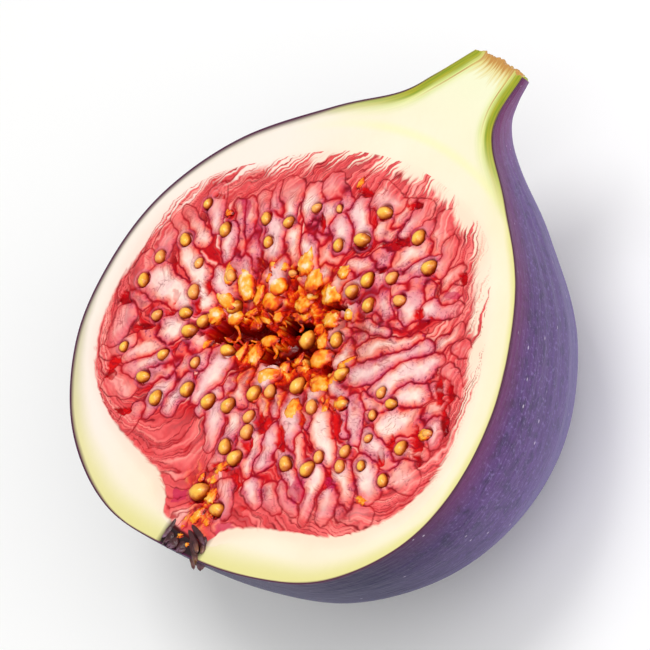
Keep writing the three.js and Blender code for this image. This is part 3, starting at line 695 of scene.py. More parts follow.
def pulp_surface(x, y):
    """The height of the cut florets over the face plane and what shows there. Each lobe is a capsule round its
    two ends, with a wavy outline from noise; a point belongs to the nearest one, and depth is its distance in mm
    from that lobe's edge. Between lobes, stalks run along the florets' way: their edges are the lines where a
    noise drawn out along that way crosses zero. Pits sink to the hollow, and seeds sit in sockets."""
    sunk = dish(x, y)
    # Seen from the photograph's side, a sunk point lies where its line of sight crosses the face plane.
    fx, fy = x + sunk * math.tan(VIEW_TILT), y
    px, py = seen_pixel(fx, fy)
    wx, wy = (base + 0.55 * noise(fx / 3.6, fy / 3.6, seed) + 0.3 * noise(fx / 1.3, fy / 1.3, seed + 1)
              + 0.1 * noise(fx * 2, fy * 2, seed + 2) for base, seed in ((fx, 11), (fy, 14)))
    nearest = np.full(x.shape, 99.0)
    second = np.full(x.shape, 99.0)
    own = np.zeros(x.shape)
    for k, (ax, ay, bx, by, half) in enumerate(lobes()):
        dx, dy = bx - ax, by - ay
        t = np.clip(((wx - ax) * dx + (wy - ay) * dy) / max(dx * dx + dy * dy, 1e-9), 0, 1)
        gap = np.hypot(wx - ax - t * dx, wy - ay - t * dy) - half * (1.3 - 0.5 * t) - 0.15
        closer = gap < nearest
        second = np.where(closer, nearest, np.minimum(second, gap))
        own = np.where(closer, scatter(k, 91), own)
        nearest = np.where(closer, gap, nearest)
    direction, share = floret_way(wx, wy)
    # Near the wall the stalks bend over towards the stem, until they almost follow the wall.
    swept = direction - 0.55 * np.cos(direction - 0.09) * (np.clip(share - 0.6, 0, 0.6) / 0.45) ** 2
    turn = (swept + 0.04 * noise(fx / 5, fy / 5, 20) + 0.014 * noise(fx / 1.4, fy / 1.4, 21)) / (2 * math.pi)
    run = share * 18
    coarse = noise(turn * 84, run / 9, 22, 84)
    fine = noise(turn * 170, run / 9, 23, 170)
    stalk = coarse * smooth(0.75, 0.35, share) + fine * smooth(0.35, 0.75, share)
    thread = noise(turn * 240, run / 7, 24, 240)
    strands = np.clip(0.5 + 0.5 * (0.8 * noise(turn * 110, run / 8, 25, 110) + 0.7 * thread), 0, 1)
    thin = 0.085 + 0.045 * noise(fx / 1.1, fy / 1.1, 26) + 0.035 * noise(fx * 2.6, fy * 2.6, 38)
    stalk_line = np.exp(-((stalk / np.maximum(thin, 0.04)) ** 2))
    inside = smooth(0.18, 0.02, nearest)
    depth = np.minimum(np.maximum(-nearest, 0), (second - nearest) / 2)
    off_edge = np.where(nearest < 0, np.minimum(np.abs(nearest), (second - nearest) / 2), nearest)
    outline = np.exp(-((off_edge / np.maximum(thin * 1.15, 0.05)) ** 2))
    ring = np.exp(-(((depth - 0.42) / 0.07) ** 2)) * smooth(0.0, 0.35, noise(fx / 1.8, fy / 1.8, 27))
    veins = np.abs(noise(wx / 0.9 + 0.5 * noise(fx, fy, 28), wy / 0.9, 29))
    vein = np.exp(-((veins / 0.05) ** 2)) * smooth(0.15, 0.45, noise(fx / 2.3, fy / 2.3, 30)) * inside
    combed = np.exp(-((thread / 0.1) ** 2)) * smooth(0.05, 0.4, noise(fx / 2.6, fy / 2.6, 35)) * inside
    line = np.maximum.reduce([outline, 0.9 * stalk_line * (1 - inside), 0.5 * ring, 0.65 * vein, 0.6 * combed])
    # The wall begins where stalks end, each at its own length, and single fibres run on into it. They are long
    # at the top and the right, and short at the lower left.
    reach = edge_of_pulp(np.arctan2(fy - HOLLOW[1], fx - HOLLOW[0]))
    beyond = np.hypot(fx - HOLLOW[0], fy - HOLLOW[1]) - reach
    hairy = smooth(-60, 90, (px - 280) * 0.9 - (py - 330))
    comb = noise(turn * 112, run / 9, 31, 112) + 0.5 * noise(turn * 60, run / 9, 37, 60)
    ridge = np.clip(1 - np.abs(comb) / 0.45, 0, 1)
    long = 0.3 + 0.9 * smooth(-0.3, 0.5, noise(turn * 40, run / 12, 32, 40))
    frayed = beyond - (0.25 + 2.3 * hairy) * ridge * long + 0.1 + 0.35 * hairy + 0.12 * noise(fx * 1.3, fy * 1.3, 36)
    frayed = frayed - 0.5 * smooth(140, 108, px) + 0.65 * smooth(436, 474, px) * smooth(420, 350, py)
    # Between the two walls at the eye the pulp reaches a mm further.
    frayed = frayed - 1.1 * smooth(4.6, 3.4, np.abs(fx + 1.2)) * smooth(7.0, 5.0, fy)
    wall = smooth(-0.05 - 0.25 * hairy, 0.3 + 0.5 * hairy, frayed)
    fibre = np.exp(-((thread / 0.13) ** 2)) * smooth(0.0, 0.3, noise(turn * 34, run / 9, 33, 34))
    hair = fibre * smooth(0.6 + 2.2 * hairy, 0.0, beyond) * wall
    fringe = smooth(-5.2, -1.2, beyond + 1.8 * noise(fx / 3, fy / 3, 34))
    inside = inside * (1 - smooth(-2.4, -0.8, frayed))
    fringe = np.maximum(fringe, smooth(78, 45, np.hypot(px - COMBED[0], py - COMBED[1])))
    ragged = 1 + 0.4 * noise(fx / 0.9, fy / 0.9, 51) + 0.3 * noise(fx * 2.2, fy * 2.2, 52)
    wet = smooth(0.3, 0.44, noise(fx / 2.2, fy / 2.2, 41) + 0.4 * noise(fx * 1.3, fy * 1.3, 42))
    wet = np.maximum(wet * (1 - 0.75 * fringe) * (1 - inside),
                     patches_at(px, py, JUICE, ragged) * (1 - 0.6 * inside * smooth(0.45, 0.8, depth)))
    stain = patches_at(px, py, STAINS, ragged)
    shaded_pit = patches_at(px, py, PITS, ragged)
    deepest = patches_at(px, py, DEEPEST, ragged)
    seed = np.full(x.shape, 9.0)
    for sx, sy, length, _ in SEEDS:
        cx, cy = from_photo(sx, sy)
        seed = np.minimum(seed, np.hypot(fx - cx, fy - cy) - 0.42 * length)
    halo = np.exp(-(((seed - 0.3) / 0.14) ** 2))
    from_hollow = np.hypot((px - 285) / 7.6, (py - 335) / 8.6)
    channel = np.hypot((px - 203) / 2.4, (py - 500) / 5.0)
    blot = noise(fx / 2.2, fy / 2.2, 61)
    amber = np.maximum(smooth(11.4, 6.0, from_hollow + 2.2 * blot), 0.75 * smooth(9.0, 4.0, channel + 2.0 * blot))
    crumbs = noise(fx * 0.9, fy * 0.9, 71) + 0.6 * noise(fx * 1.9, fy * 1.9, 72) + 0.2 * noise(fx * 4.0, fy * 4.0, 73)
    crumb = np.clip(0.5 + 0.55 * crumbs, 0, 1)
    # A painted contact shadow: a dark ring round each seed, drawn in the colour of the lines.
    seed_shadow = np.exp(-((seed / 0.13) ** 2))
    line = np.maximum(line, 0.9 * seed_shadow)
    height = 0.13 * smooth(0, 0.6, depth) - 0.07 * line + 0.07 * (strands - 0.5) * (1 - inside) - 0.22 * wet
    height += 0.1 * (crumb - 0.5) + 0.45 * amber * (crumb - 0.62) - 0.35 * smooth(0.2, -0.1, seed) + 0.12 * halo
    height = height * (1 - wall) + 0.1 * hair - sunk - 2.0 * shaded_pit - 2.0 * deepest
    calm = smooth(PULP_MARGIN - 0.1, 0.5, beyond)
    marks = {
        "depth": depth, "line": line * (1 - wall), "tone": own, "strands": strands, "fringe": fringe, "wall": wall,
        "hair": hair, "wet": wet, "stain": stain,
        "shaded_pit": 0.5 * shaded_pit + 0.5 * deepest, "amber": amber, "crumb": crumb,
        "halo": halo * (1 - wall), "to_pulp": beyond, "from_skin": 9 + 0 * x, "lobed": inside,
    }
    return height * calm, marks


def border(grid):
    """The values round the edge of a grid, in order."""
    return np.concatenate([grid[0, :-1], grid[:-1, -1], grid[-1, :0:-1], grid[:0:-1, 0]])


def pulp_quarters():
    """The pulp in four closed pieces that meet at the hollow: the cut surface above, the bowl below, and level
    sides between. Normals come from the whole surface, so the pieces join without a seam."""
    radius, angle = disc(2 * QUARTER_STEPS)
    reach = edge_of_pulp(angle) + PULP_MARGIN
    x, y = HOLLOW[0] + radius * reach * np.cos(angle), HOLLOW[1] + radius * reach * np.sin(angle)
    height, marks = pulp_surface(x, y)
    height = np.where(radius > 0.9999, 0, height)
    top = np.stack([x, y, height], -1)
    slope = np.cross(np.gradient(top, axis=1), np.gradient(top, axis=0))
    slope *= np.sign(slope[..., 2:] + 1e-12) / np.maximum(np.linalg.norm(slope, axis=-1, keepdims=True), 1e-9)
    marks = {**marks, "normal_x": slope[..., 0], "normal_y": slope[..., 1], "normal_z": slope[..., 2]}
    material = floret_flesh()
    pieces = []
    for name, (row, column) in PULP_QUARTERS.items():
        first_row, first_column = row * QUARTER_STEPS, column * QUARTER_STEPS
        part = np.s_[first_row:first_row + QUARTER_STEPS + 1, first_column:first_column + QUARTER_STEPS + 1]
        patch = top[part]
        edge = border(patch)
        sink = np.linspace(0, math.pi / 2, 5)[:, None]
        under = np.stack([HOLLOW[0] + (edge[None, :, 0] - HOLLOW[0]) * np.cos(sink),
                          HOLLOW[1] + (edge[None, :, 1] - HOLLOW[1]) * np.cos(sink),
                          edge[None, :, 2] * np.cos(sink) - PULP_DEPTH * np.sin(sink)], -1)
        values = {}
        for key, value in marks.items():
            values[key] = np.concatenate([value[part].ravel(), np.tile(border(value[part]), under.shape[0])])
        piece = grid_mesh(name, [(patch, False, 0), (under, True, 0)], values, [material])
        normals = np.zeros((len(piece.data.vertices), 3))
        for axis, key in enumerate(("normal_x", "normal_y", "normal_z")):
            column_values = np.zeros(len(piece.data.vertices), dtype=np.float32)
            piece.data.attributes[key].data.foreach_get("value", column_values)
            normals[:, axis] = column_values
            piece.data.attributes.remove(piece.data.attributes[key])
        piece.data.normals_split_custom_set_from_vertices(normals)
        pieces.append(piece)
    return pieces


def floret_flesh():
    """Ripe floret flesh: wet and soft. Lobes are pale pink inside and flush to crimson at their skins, stalks are
    salmon, juice between them is deep red, the ends at the hollow have turned amber, and the pits are painted
    near black as shade."""
    made, tree, spot = start_material("wet_floret_flesh", {"IOR": 1.38, "Specular IOR Level": 0.15})
    mark = {name: carried(tree, name) for name in (
        "depth", "line", "tone", "strands", "fringe", "wall", "hair", "wet", "stain", "shaded_pit", "amber", "crumb", "halo",
        "lobed")}
    # Patches 1.5 mm across shift each lobe between warm and lilac; grains are a quarter of a mm.
    patches = grain(tree, spot, 650.0, 4.0)
    grains = grain(tree, spot, 3600.0, 2.0)
    stalks = ramp(tree, mark["strands"], [
        (0.15, "#a8000e"), (0.36, "#d2141c"), (0.55, "#e84a4a"), (0.74, "#f8887c"), (0.95, "#ffc2b4")])
    warm = ramp(tree, mark["depth"], [
        (0.0, "#b80416"), (0.09, "#e02c2e"), (0.24, "#f47466"), (0.54, "#f9aa98"), (0.95, "#ffdecf")])
    lilac = ramp(tree, mark["depth"], [
        (0.0, "#9c062c"), (0.09, "#c8304e"), (0.26, "#e27482"), (0.58, "#e69a9e"), (0.98, "#f4c6c2")])
    lean = arithmetic(tree, "ADD", mark["tone"], between(tree, patches, 0.38, 0.62, -0.5, 0.6), held=True)
    flesh = layer(tree, stalks, layer(tree, lilac, warm, lean), mark["lobed"])
    # Dark dots lie on the lobes, most of them near a lobe's skin and in some patches.
    dots = times(tree, between(tree, grains, 0.55, 0.66, 0.0, 0.75),
                 between(tree, mark["depth"], 0.35, 0.9, 1.0, 0.1))
    dots = times(tree, dots, times(tree, mark["lobed"], between(tree, mark["fringe"], 0.2, 0.8, 1.0, 0.1)))
    dots = times(tree, dots, between(tree, patches, 0.42, 0.6, 1.0, 0.15))
    juice = ramp(tree, patches, [(0.35, "#8c0004"), (0.5, "#c4000a"), (0.65, "#de1414")])
    lines = ramp(tree, patches, [(0.35, "#720014"), (0.5, "#9c0214"), (0.65, "#b80818")])
    # Amber crumbs cover the lobes from their edges inwards.
    amber_place = arithmetic(tree, "MULTIPLY_ADD", mark["line"], -0.35, mark["crumb"], held=True)
    amber = ramp(tree, amber_place, [
        (0.12, "#8a0400"), (0.4, "#c41402"), (0.6, "#e44008"), (0.8, "#f67c14"), (0.97, "#fdb450")])
    rim_first = arithmetic(tree, "MULTIPLY_ADD", mark["depth"], -0.75, 1.0, held=True)
    # Painted shade: the pits turn from red to near black as they deepen.
    shaded_pit = ramp(tree, mark["shaded_pit"], [
        (0.0, "#c41606"), (0.3, "#a00a02"), (0.52, "#7c0402"), (0.7, "#3c0101"), (0.95, "#140000")])
    for tone, share in (
        # Towards the wall the stalks show, on a salmon ground.
        (stalks, times(tree, mark["fringe"], 0.6)),
        ("#f67e80", times(tree, mark["fringe"], 0.34)),
        ("#8a1048", dots),
        (juice, mark["wet"]),
        ("#c01550", times(tree, mark["stain"], 0.65)),
        (lines, times(tree, mark["line"], 0.94)),
        ("#c06a88", times(tree, mark["halo"], 0.32)),
        (amber, times(tree, mark["amber"], rim_first)),
        (shaded_pit, between(tree, mark["shaded_pit"], 0.02, 0.3, 0.0, 1.0)),
        (layer(tree, wall_layers(tree), "#ec6a5c", times(tree, mark["hair"], 0.75)), mark["wall"]),
    ):
        flesh = layer(tree, flesh, tone, share)
    # The flesh glistens, and the wall is duller.
    gloss = between(tree, patches, 0.3, 0.7, 0.07, 0.2)
    rough = add_node(tree, "ShaderNodeMix", {0: mark["wall"], 2: gloss, 3: 0.42}, data_type="FLOAT").outputs[0]
    cover(tree, Base_Color=flesh, Roughness=rough)
    soft = times(tree, arithmetic(tree, "ADD", patches, grains), between(tree, mark["wall"], 0.0, 1.0, 1.0, 0.0))
    raise_surface(tree, soft, 0.3, 0.0002)
    return made


for quarter in pulp_quarters():
    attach(quarter, "root")
    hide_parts("pulp")


# The seeds: hard, smooth golden nutlets, one in each floret. The knife pushed them aside, so they sit half
# sunk in their sockets; those still under a film of flesh look paler.
def oval(middle, half_sizes, turn, columns, rows, bumps=0.0, seed=0, pointed=0.0):
    """A closed oval body: rings round its long axis from pole to pole, thinner towards one end by pointed, with
    noise bumps as a share of its size."""
    along = np.linspace(0, math.pi, rows + 1)[:, None]
    around = np.linspace(0, 2 * math.pi, columns, endpoint=False)[None, :]
    across = np.cos(around) * np.sin(along)
    forward = np.cos(along) + np.sin(around) * np.sin(along)
    lumps = 1 + bumps * (noise(2.2 * across + 7 * seed, 2.2 * forward, seed)
                         + 0.6 * noise(5 * across, 5 * forward, seed + 1))
    ring = np.sin(along) * (1 - pointed * np.cos(along)) * lumps
    x = half_sizes[0] * lumps * np.cos(along)
    y = half_sizes[1] * ring * np.cos(around)
    z = half_sizes[2] * ring * np.sin(around)
    c, s = math.cos(turn), math.sin(turn)
    return np.stack([middle[0] + c * x - s * y, middle[1] + s * x + c * y, middle[2] + z], -1)


def face_turn(degrees):
    """The turn on the face of something that leans this many degrees up from level in the photograph."""
    return math.radians(25.4 + degrees * 106 / 90)


def height_share(points):
    """How high each point of a body stands between its lowest and its highest one."""
    return ((points[..., 2] - points[..., 2].min()) / np.ptp(points[..., 2])).ravel()


def seeds():
    """An oval for each seed, sunk a little under the place where its pixel falls."""
    grids, film, side = [], [], []
    for k, (px, py, length, lean) in enumerate(SEEDS):
        x, y, depth = seen_place(px, py)
        down = 0.15 - 0.12 * scatter(k, 3)
        half = (length * 0.47, length * 0.345, length * 0.37)
        points = oval((x - down, y, -down - depth), half, face_turn(lean), 16, 12, 0.05, k, 0.16)
        grids.append((points, True, 0))
        veil = 0.85 if k >= FIRST_VEILED and length < 1.9 else 0.3 * scatter(k, 5)
        film.append(np.full(points.size // 3, veil))
        side.append(height_share(points))
    return grid_mesh("seeds", grids, {"film": np.concatenate(film), "height": np.concatenate(side)}, [seed_coat()])


def seed_coat():
    """Seed coat: hard and glossy under juice and golden, painted lighter on top with a painted highlight, and
    browner towards its base as painted shade.
    """
    made, tree, spot = start_material("golden_seed_coat", {
        "Roughness": 0.22, "IOR": 1.52, "Subsurface Weight": 0.1, "Subsurface Scale": 0.0006,
    })
    film = carried(tree, "film")
    height = carried(tree, "height")
    mottle = grain(tree, spot, 1500.0, 3.0)
    up = arithmetic(tree, "MULTIPLY_ADD", mottle, 0.5, -0.25)
    lift = arithmetic(tree, "ADD", height, up)
    # Painted light and shade: the coat runs from brown low down to gold at its top, also under the film.
    rise = between(tree, lift, 0.52, 0.93, 0.0, 1.0)
    gold = layer(tree, "#8c2802", "#f08c0c", rise)
    # A painted highlight at the top of each seed.
    seed_highlight = between(tree, lift, 0.76, 1.0, 0.0, 0.9)
    gold = layer(tree, gold, "#ffd04c", seed_highlight)
    veiled = layer(tree, "#c04a1a", "#fbae58", rise)
    pale = layer(tree, gold, veiled, film)
    cover(tree, Base_Color=pale)
    raise_surface(tree, mottle, 0.15, 0.0001)
    return made


seed_piece = seeds()
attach(seed_piece, "root")


# The florets' tips: amber, crumbly ends that crowd round the hollow, some torn open, with threads left hanging
# across it where the two halves came apart.

# Each by the pixel at its middle, its half length and half width in mm, how far it leans, how pale its heart is
# (below 0 for the dark red ball), and how crumbly it is.
TIPS = [
    (278.5, 283, 1.15, 0.85, 90, 1.0, 0.06), (275, 300, 1.25, 0.95, 5, 0.25, 0.08),
    (245.6, 281, 1.9, 0.85, 98, 0.9, 0.08), (223, 297, 1.8, 0.65, 122, 0.95, 0.08),
    (236, 317.5, 0.8, 0.75, 0, 0.95, 0.12), (228.7, 273, 1.2, 0.6, 85, 0.5, 0.1),
    (316, 278, 1.35, 0.95, 75, 0.8, 0.2), (333.7, 294, 1.05, 1.0, 0, 0.85, 0.26),
    (305.6, 304, 0.95, 0.8, 20, 0.45, 0.26), (312.5, 296.5, 0.6, 0.35, 0, 0.9, 0.15),
    (301, 316, 1.2, 0.6, 150, 0.15, 0.3), (293.6, 273.7, 0.4, 0.38, 0, 0.35, 0.05),
    (273.5, 262, 0.9, 0.35, 75, 0.2, 0.22), (269.5, 274, 0.8, 0.3, 75, 0.15, 0.2),
    (259.7, 292, 1.2, 0.5, 72, 0.5, 0.2), (257.4, 323, 0.9, 0.8, 90, -0.4, 0.1),
    (278.6, 316.2, 0.7, 0.5, 90, 0.9, 0.15), (270, 341.4, 0.95, 0.55, 8, 0.7, 0.12),
    (290, 348.3, 1.2, 1.15, 0, -1.0, 0.06), (324, 340.3, 0.95, 0.6, 80, 0.45, 0.3),
    (322.8, 359, 1.2, 0.95, 20, 0.3, 0.08), (348, 362, 1.2, 0.4, 25, 0.4, 0.2), (338, 377, 1.3, 0.5, 40, 0.3, 0.15),
    (285, 369, 0.75, 0.6, 60, 0.25, 0.26), (300, 360, 0.7, 0.35, 60, 0.1, 0.3), (302, 370, 0.75, 0.4, 150, 0.6, 0.3),
    (319.4, 386, 1.2, 1.0, 130, 0.5, 0.24), (267.7, 378, 1.2, 0.9, 20, 0.95, 0.1),
    (239, 355, 1.3, 0.45, 55, 0.7, 0.12), (254, 356.4, 1.25, 0.85, 65, 0.6, 0.28),
    (294, 410, 1.1, 0.85, 80, 0.75, 0.15), (326, 408, 0.95, 0.42, 80, 0.3, 0.26),
    (342, 403.4, 0.8, 0.7, 0, 0.1, 0.15), (351.5, 314, 0.65, 0.6, 0, 0.95, 0.15),
    (334, 319.6, 1.0, 0.8, 0, 0.65, 0.3), (346, 271.4, 0.8, 0.6, 30, 0.9, 0.24), (309, 259, 1.5, 0.9, 70, 0.75, 0.18),
    (285, 265.7, 0.5, 0.42, 80, 0.8, 0.2), (214.4, 314, 1.05, 0.85, 110, 0.7, 0.2),
    (204.6, 345, 0.9, 0.4, 20, 0.3, 0.2), (252, 313, 0.8, 0.35, 30, 0.3, 0.3), (265, 320, 0.8, 0.3, 130, 0.2, 0.3),
    (223, 467, 1.0, 0.4, 30, 0.2, 0.3), (216, 478, 0.9, 0.4, 50, 0.4, 0.3), (212, 497, 0.8, 0.6, 60, 0.5, 0.3),
    (198, 516, 0.9, 0.5, 40, 0.4, 0.25), (209, 520, 0.8, 0.4, 50, 0.3, 0.25), (186, 521, 1.0, 0.35, 60, 0.2, 0.25),
    (361, 498, 0.8, 0.4, 140, 0.3, 0.3), (228, 211, 0.45, 0.35, 0, 0.0, 0.2), (362, 182, 0.6, 0.35, 60, 0.2, 0.2),
    (424, 433, 0.7, 0.5, 0, 0.6, 0.3), (202, 478, 0.5, 0.3, 60, 0.2, 0.2), (182, 536, 0.55, 0.35, 20, 0.0, 0.3),
    (187, 545, 0.35, 0.25, 20, 0.5, 0.3),
]
# Threads by the pixels that they pass through.
THREADS = [
    [(232, 322), (236, 328), (238, 336), (236, 343)], [(236, 343), (229, 341), (224, 338)],
    [(238, 340), (243, 346), (247, 348)], [(268, 312), (274, 318), (283, 322), (287, 328)],
    [(251, 316), (256, 322), (258, 330)], [(297, 318), (301, 326), (300, 333)], [(262, 345), (256, 342), (250, 341)],
    [(311, 336), (318, 332), (324, 330)], [(287, 358), (291, 364), (298, 366)], [(272, 345), (275, 352), (274, 360)],
]


def cord_along(points, radius, rows, columns=7):
    """A closed round thread along a smooth curve through points, thinning to nothing at both ends."""
    t = np.linspace(0, 1, rows + 1)
    line = curve_through(points, t, False)
    way = np.gradient(line, axis=0)
    way /= np.linalg.norm(way, axis=1)[:, None]
    side = np.cross(way, [0, 0, 1.0])
    side /= np.maximum(np.linalg.norm(side, axis=1), 1e-6)[:, None]
    over = np.cross(side, way)
    turn = np.linspace(0, 2 * math.pi, columns, endpoint=False)
    size = radius * np.sqrt(np.clip(np.sin(math.pi * t), 0, 1)) * (1 + 0.4 * np.sin(9 * t + points[0][0]))
    ring = np.cos(turn)[None, :, None] * side[:, None] + np.sin(turn)[None, :, None] * over[:, None]
    return line[:, None] + size[:, None, None] * ring


def floret_tips():
    """A lumpy oval for each tip, and a sagging thread through each line of pixels."""
    grids, pale, top = [], [], []
    for k, (px, py, long_half, wide_half, lean, paleness, crumbly) in enumerate(TIPS):
        # The dark red balls hang down in the hollow.
        down = -1.7 * paleness if paleness < 0 else 0.2 - 0.15 * scatter(k, 7)
        x, y, depth = seen_place(px, py)
        x = x - down * math.tan(VIEW_TILT)
        half = (1.18 * long_half, 1.2 * wide_half, 0.66 * wide_half)
        points = oval((x, y, -down - depth), half, face_turn(lean), 26, 20, crumbly, 100 + 2 * k, 0.25)
        grids.append((points, True, 0))
        pale.append(np.full(points.size // 3, paleness))
        top.append(height_share(points))
    for k, line in enumerate(THREADS):
        pixels = np.array(line, dtype=float)
        x, y, depth = seen_place(pixels[:, 0], pixels[:, 1])
        sag = 0.4 * np.sin(np.linspace(0, math.pi, len(x)))
        points = cord_along(np.stack([x, y, 0.1 - depth - sag], -1), 0.2, 14)
        grids.append((points, True, 0))
        pale.append(np.full(points.size // 3, 0.2))
        top.append(np.full(points.size // 3, 0.8))
    values = {"pale": np.concatenate(pale), "top": np.concatenate(top)}
    return grid_mesh("floret_tips", grids, values, [amber_flesh()])


def amber_flesh():
    """Floret tips soaked in syrup: glossy, crumbly and slightly clear, orange with paler hearts, and painted paler
    towards their tops and darker red below as painted light and shade.
    """
    made, tree, spot = start_material("syrupy_floret_tips", {
        "Roughness": 0.16, "IOR": 1.42, "Specular IOR Level": 0.45, "Subsurface Weight": 0.15,
        "Subsurface Radius": (1.0, 0.5, 0.2), "Subsurface Scale": 0.001,
    })
    pale = carried(tree, "pale")
    cells = grain(tree, spot, 1100.0, 5.0)
    place = between(tree, cells, 0.36, 0.64, 0.0, 1.0)
    top = carried(tree, "top")
    # Painted light and shade: each tip is paler towards its top and darker red towards its underside.
    tip_top_light = between(tree, top, 0.6, 0.94, -0.26, 0.3)
    blend = arithmetic(tree, "MULTIPLY_ADD", pale, 0.3, tip_top_light)
    heart = arithmetic(tree, "MULTIPLY_ADD", place, 0.42, blend)
    amber = ramp(tree, heart, [(0.0, "#780400"), (0.14, "#c41e02"), (0.32, "#ec5406"), (0.52, "#fb9310"),
                               (0.76, "#fdba4c"), (1.0, "#ffe9cc")])
    cover(tree, Base_Color=amber)
    raise_surface(tree, cells, 0.6, 0.0003)
    return made


tip_piece = floret_tips()
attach(tip_piece, "root")


# The eye: rings of small papery scales that closed the fruit's mouth. They dried dark brown, curled and tore when
# the knife went through them, and they stand a mm out of the mouth.
SCALE_ROWS, SCALE_COLUMNS = 15, 18
# Each scale by its root in mm, the turn of its way out, its length, width, curl up and lean.
SCALES = [
    (-2.8, 1.3, 0.05, -93, 2.4, 0.9, 0.05, 0.35), (-2.2, 0.0, 0.12, -82, 1.4, 1.3, 0.3, 0.3),
    (-1.2, -0.2, 0.2, -90, 1.3, 1.5, 0.35, 0.1), (-0.1, -0.1, 0.1, -80, 1.3, 1.4, 0.3, -0.2),
    (-1.7, 0.3, -0.5, -92, 1.6, 1.7, -0.1, 0.4), (-0.3, 0.5, -0.6, -85, 1.7, 1.8, -0.2, 0.1),
    (-0.4, 1.7, 0.2, -17, 3.2, 0.9, 0.05, -0.3), (-0.3, 1.1, 0.3, -26, 3.2, 0.95, 0.15, 0.3),
    (0.5, 0.6, 0.2, -38, 2.9, 1.1, -0.1, -0.3), (0.6, 0.1, -0.1, -48, 2.6, 1.1, -0.5, 0.3),
    (1.6, 0.5, -0.7, -66, 2.3, 1.6, -0.7, -0.4), (1.0, 0.2, -1.0, -80, 1.8, 1.9, -0.5, 0.1),
    (-2.5, 0.9, -0.3, -70, 1.5, 0.9, 0.2, -0.3), (1.9, 1.5, 0.1, -62, 1.9, 0.9, 0.1, 0.4),
]


def scale(k, root, turn, length, width, curl, lean):
    """A thin closed scale: flattened rings along a line that curls up, widest past its root, with a torn tip."""
    t = np.linspace(0, 1, SCALE_ROWS)[:, None]
    around = np.linspace(0, 2 * math.pi, SCALE_COLUMNS, endpoint=False)[None, :]
    swell = np.where(t * (1 - t) > 0, np.abs(np.sin(math.pi * t)) ** 0.45 * (0.75 + 0.5 * t * (1 - t)), 0)
    across = width / 2 * swell * np.cos(around) * (1 + 0.25 * noise(3 * t + k, np.cos(around) * 2, 200 + k))
    thick = 0.13 * swell * np.sin(around)
    cup = -0.35 * np.cos(around) ** 2 * swell + 0.12 * noise(t * 4, np.cos(around) * 2.5 + k, 230 + k)
    forward = length * t + 0.45 * noise(np.cos(around) * 2.4 + k, 0 * t + k, 260 + k) * t
    rise = curl * t * t + cup * swell + thick + lean * np.cos(around) * width / 4 * swell
    c, s = math.cos(math.radians(turn)), math.sin(math.radians(turn))
    return np.stack([root[0] + c * forward - s * across, root[1] + s * forward + c * across, root[2] + rise], -1)


def eye_bracts():
    """The scales on a low oval core."""
    base = oval((-0.1, 0.65, -1.0), (2.9, 1.4, 0.85), 0.14, 40, 28, 0.28, 190)
    grids, tip = [(base, True, 0)], [np.zeros(base.size // 3)]
    for k, (x, y, z, turn, length, width, curl, lean) in enumerate(SCALES):
        points = scale(k, (x, y, z), turn, length, width, curl, lean)
        grids.append((points, True, 0))
        worn = (0.4 + 0.6 * scatter(k, 9)) * np.linspace(0, 1, SCALE_ROWS) ** 2
        tip.append(np.repeat(worn, SCALE_COLUMNS))
    return grid_mesh("eye_bracts", grids, {"tip": np.concatenate(tip)}, [dry_scale()])


def dry_scale():
    """Dry bract: thin papery tissue, dark brown, with purplish and tan edges, matt with a slight waxy glint."""
    made, tree, spot = start_material("dry_papery_bract", {"Roughness": 0.36, "IOR": 1.45})
    tip = carried(tree, "tip")
    fibres = grain(tree, spot, 1600.0, 4.0)
    stain = grain(tree, spot, 500.0, 2.0)
    dark = layer(tree, "#150608", "#5c2a30", fibres)
    edge = between(tree, stain, 0.4, 0.6, 0.0, 1.0)
    edging = layer(tree, "#8e6a84", "#a8703c", edge)
    worn = times(tree, tip, fibres)
    shown = between(tree, worn, 0.1, 0.45, 0.0, 0.8)
    finish = layer(tree, dark, edging, shown)
    cover(tree, Base_Color=finish)
    raise_surface(tree, fibres, 0.5, 0.0002)
    return made


bract_piece = eye_bracts()
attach(bract_piece, "root")
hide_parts("eye_scales")


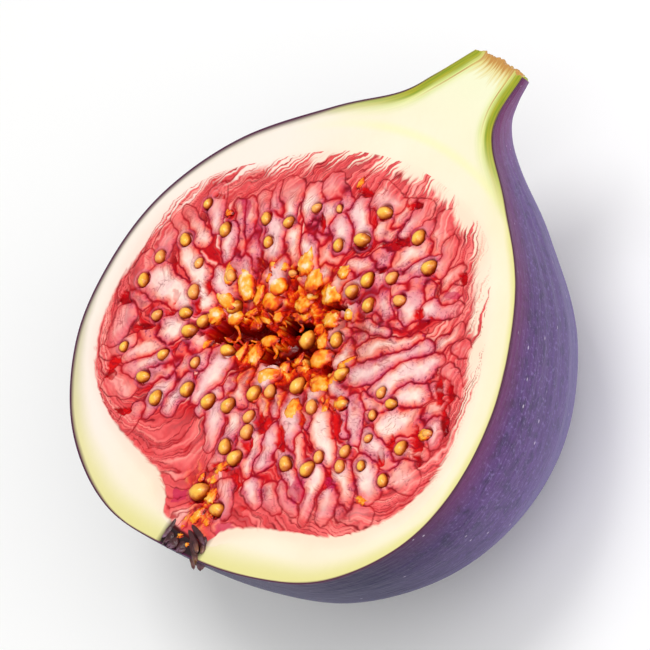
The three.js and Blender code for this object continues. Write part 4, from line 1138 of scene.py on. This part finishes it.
# The ground the fruit lies on, the light and the camera. The floor is a plain pale board, and large soft panels
# light the fruit from above, from the camera's side and low from the stem's right, in a bright white room.
def board():
    """A flat square a little under the fruit."""
    made, _, _ = start_material("matt_white_board", {"Base Color": colour("#fbfbfa"), "Roughness": 0.9})
    x, y = np.meshgrid(np.linspace(-900, 900, 3), np.linspace(-900, 900, 3))
    floor = grid_mesh("floor", [(np.stack([x, y, 0 * x - EYE[2] - 0.02], -1), False, 0)], {}, [made])


def soft_panel(name, way, distance, size, power):
    """A square soft light, distance mm from the fruit along way, turned to face it."""
    lamp = bpy.data.lights.new(name, "AREA")
    lamp.shape = "SQUARE"
    lamp.size = size / 1000
    lamp.energy = power
    panel = bpy.data.objects.new(name, lamp)
    away = np.array(way, dtype=float)
    away /= np.linalg.norm(away)
    panel.location = away * distance / 1000
    panel.rotation_euler = (-mathutils.Vector(away)).to_track_quat("-Z", "Y").to_euler()
    bpy.context.scene.collection.objects.link(panel)


board()
soft_panel("panel_above", (0.12, 0.22, 1.0), 700, 220, 1.5)
soft_panel("panel_front", (0.75, 0.15, 0.85), 800, 600, 3.0)
soft_panel("panel_right", (1.0, 0.8, 0.35), 800, 400, 0.4)
world = bpy.data.worlds.new("studio")
bpy.context.scene.world = world
world.use_nodes = True
background = world.node_tree.nodes["Background"]
background.inputs[0].default_value = (1, 1, 1, 1)
background.inputs[1].default_value = 0.52
bpy.context.scene.view_settings.view_transform = "Standard"

FRAME_WIDTH = 65.0
CAMERA_AWAY = 700.0
lens = bpy.data.cameras.new("camera")
lens.sensor_width = 36
lens.lens = 36 * CAMERA_AWAY / FRAME_WIDTH
lens.clip_end = 10
away = np.array([math.sin(VIEW_TILT), 0, math.cos(VIEW_TILT)])
to_right = np.array([math.cos(VIEW_TILT), 0, -math.sin(VIEW_TILT)])
to_stem = np.array([0.0, 1.0, 0.0])
image_right = STEM_WAY[0] * to_stem - STEM_WAY[1] * to_right
image_up = -STEM_WAY[1] * to_stem - STEM_WAY[0] * to_right
middle_x, middle_y = from_photo(325, 325)
target = np.array([middle_x, middle_y, 0]) + EYE
camera = bpy.data.objects.new("camera", lens)
turned = mathutils.Matrix(np.stack([image_right, image_up, away], -1).tolist()).to_4x4()
camera.matrix_world = mathutils.Matrix.Translation((target + CAMERA_AWAY * away) / 1000) @ turned
bpy.context.scene.collection.objects.link(camera)
bpy.context.scene.camera = camera
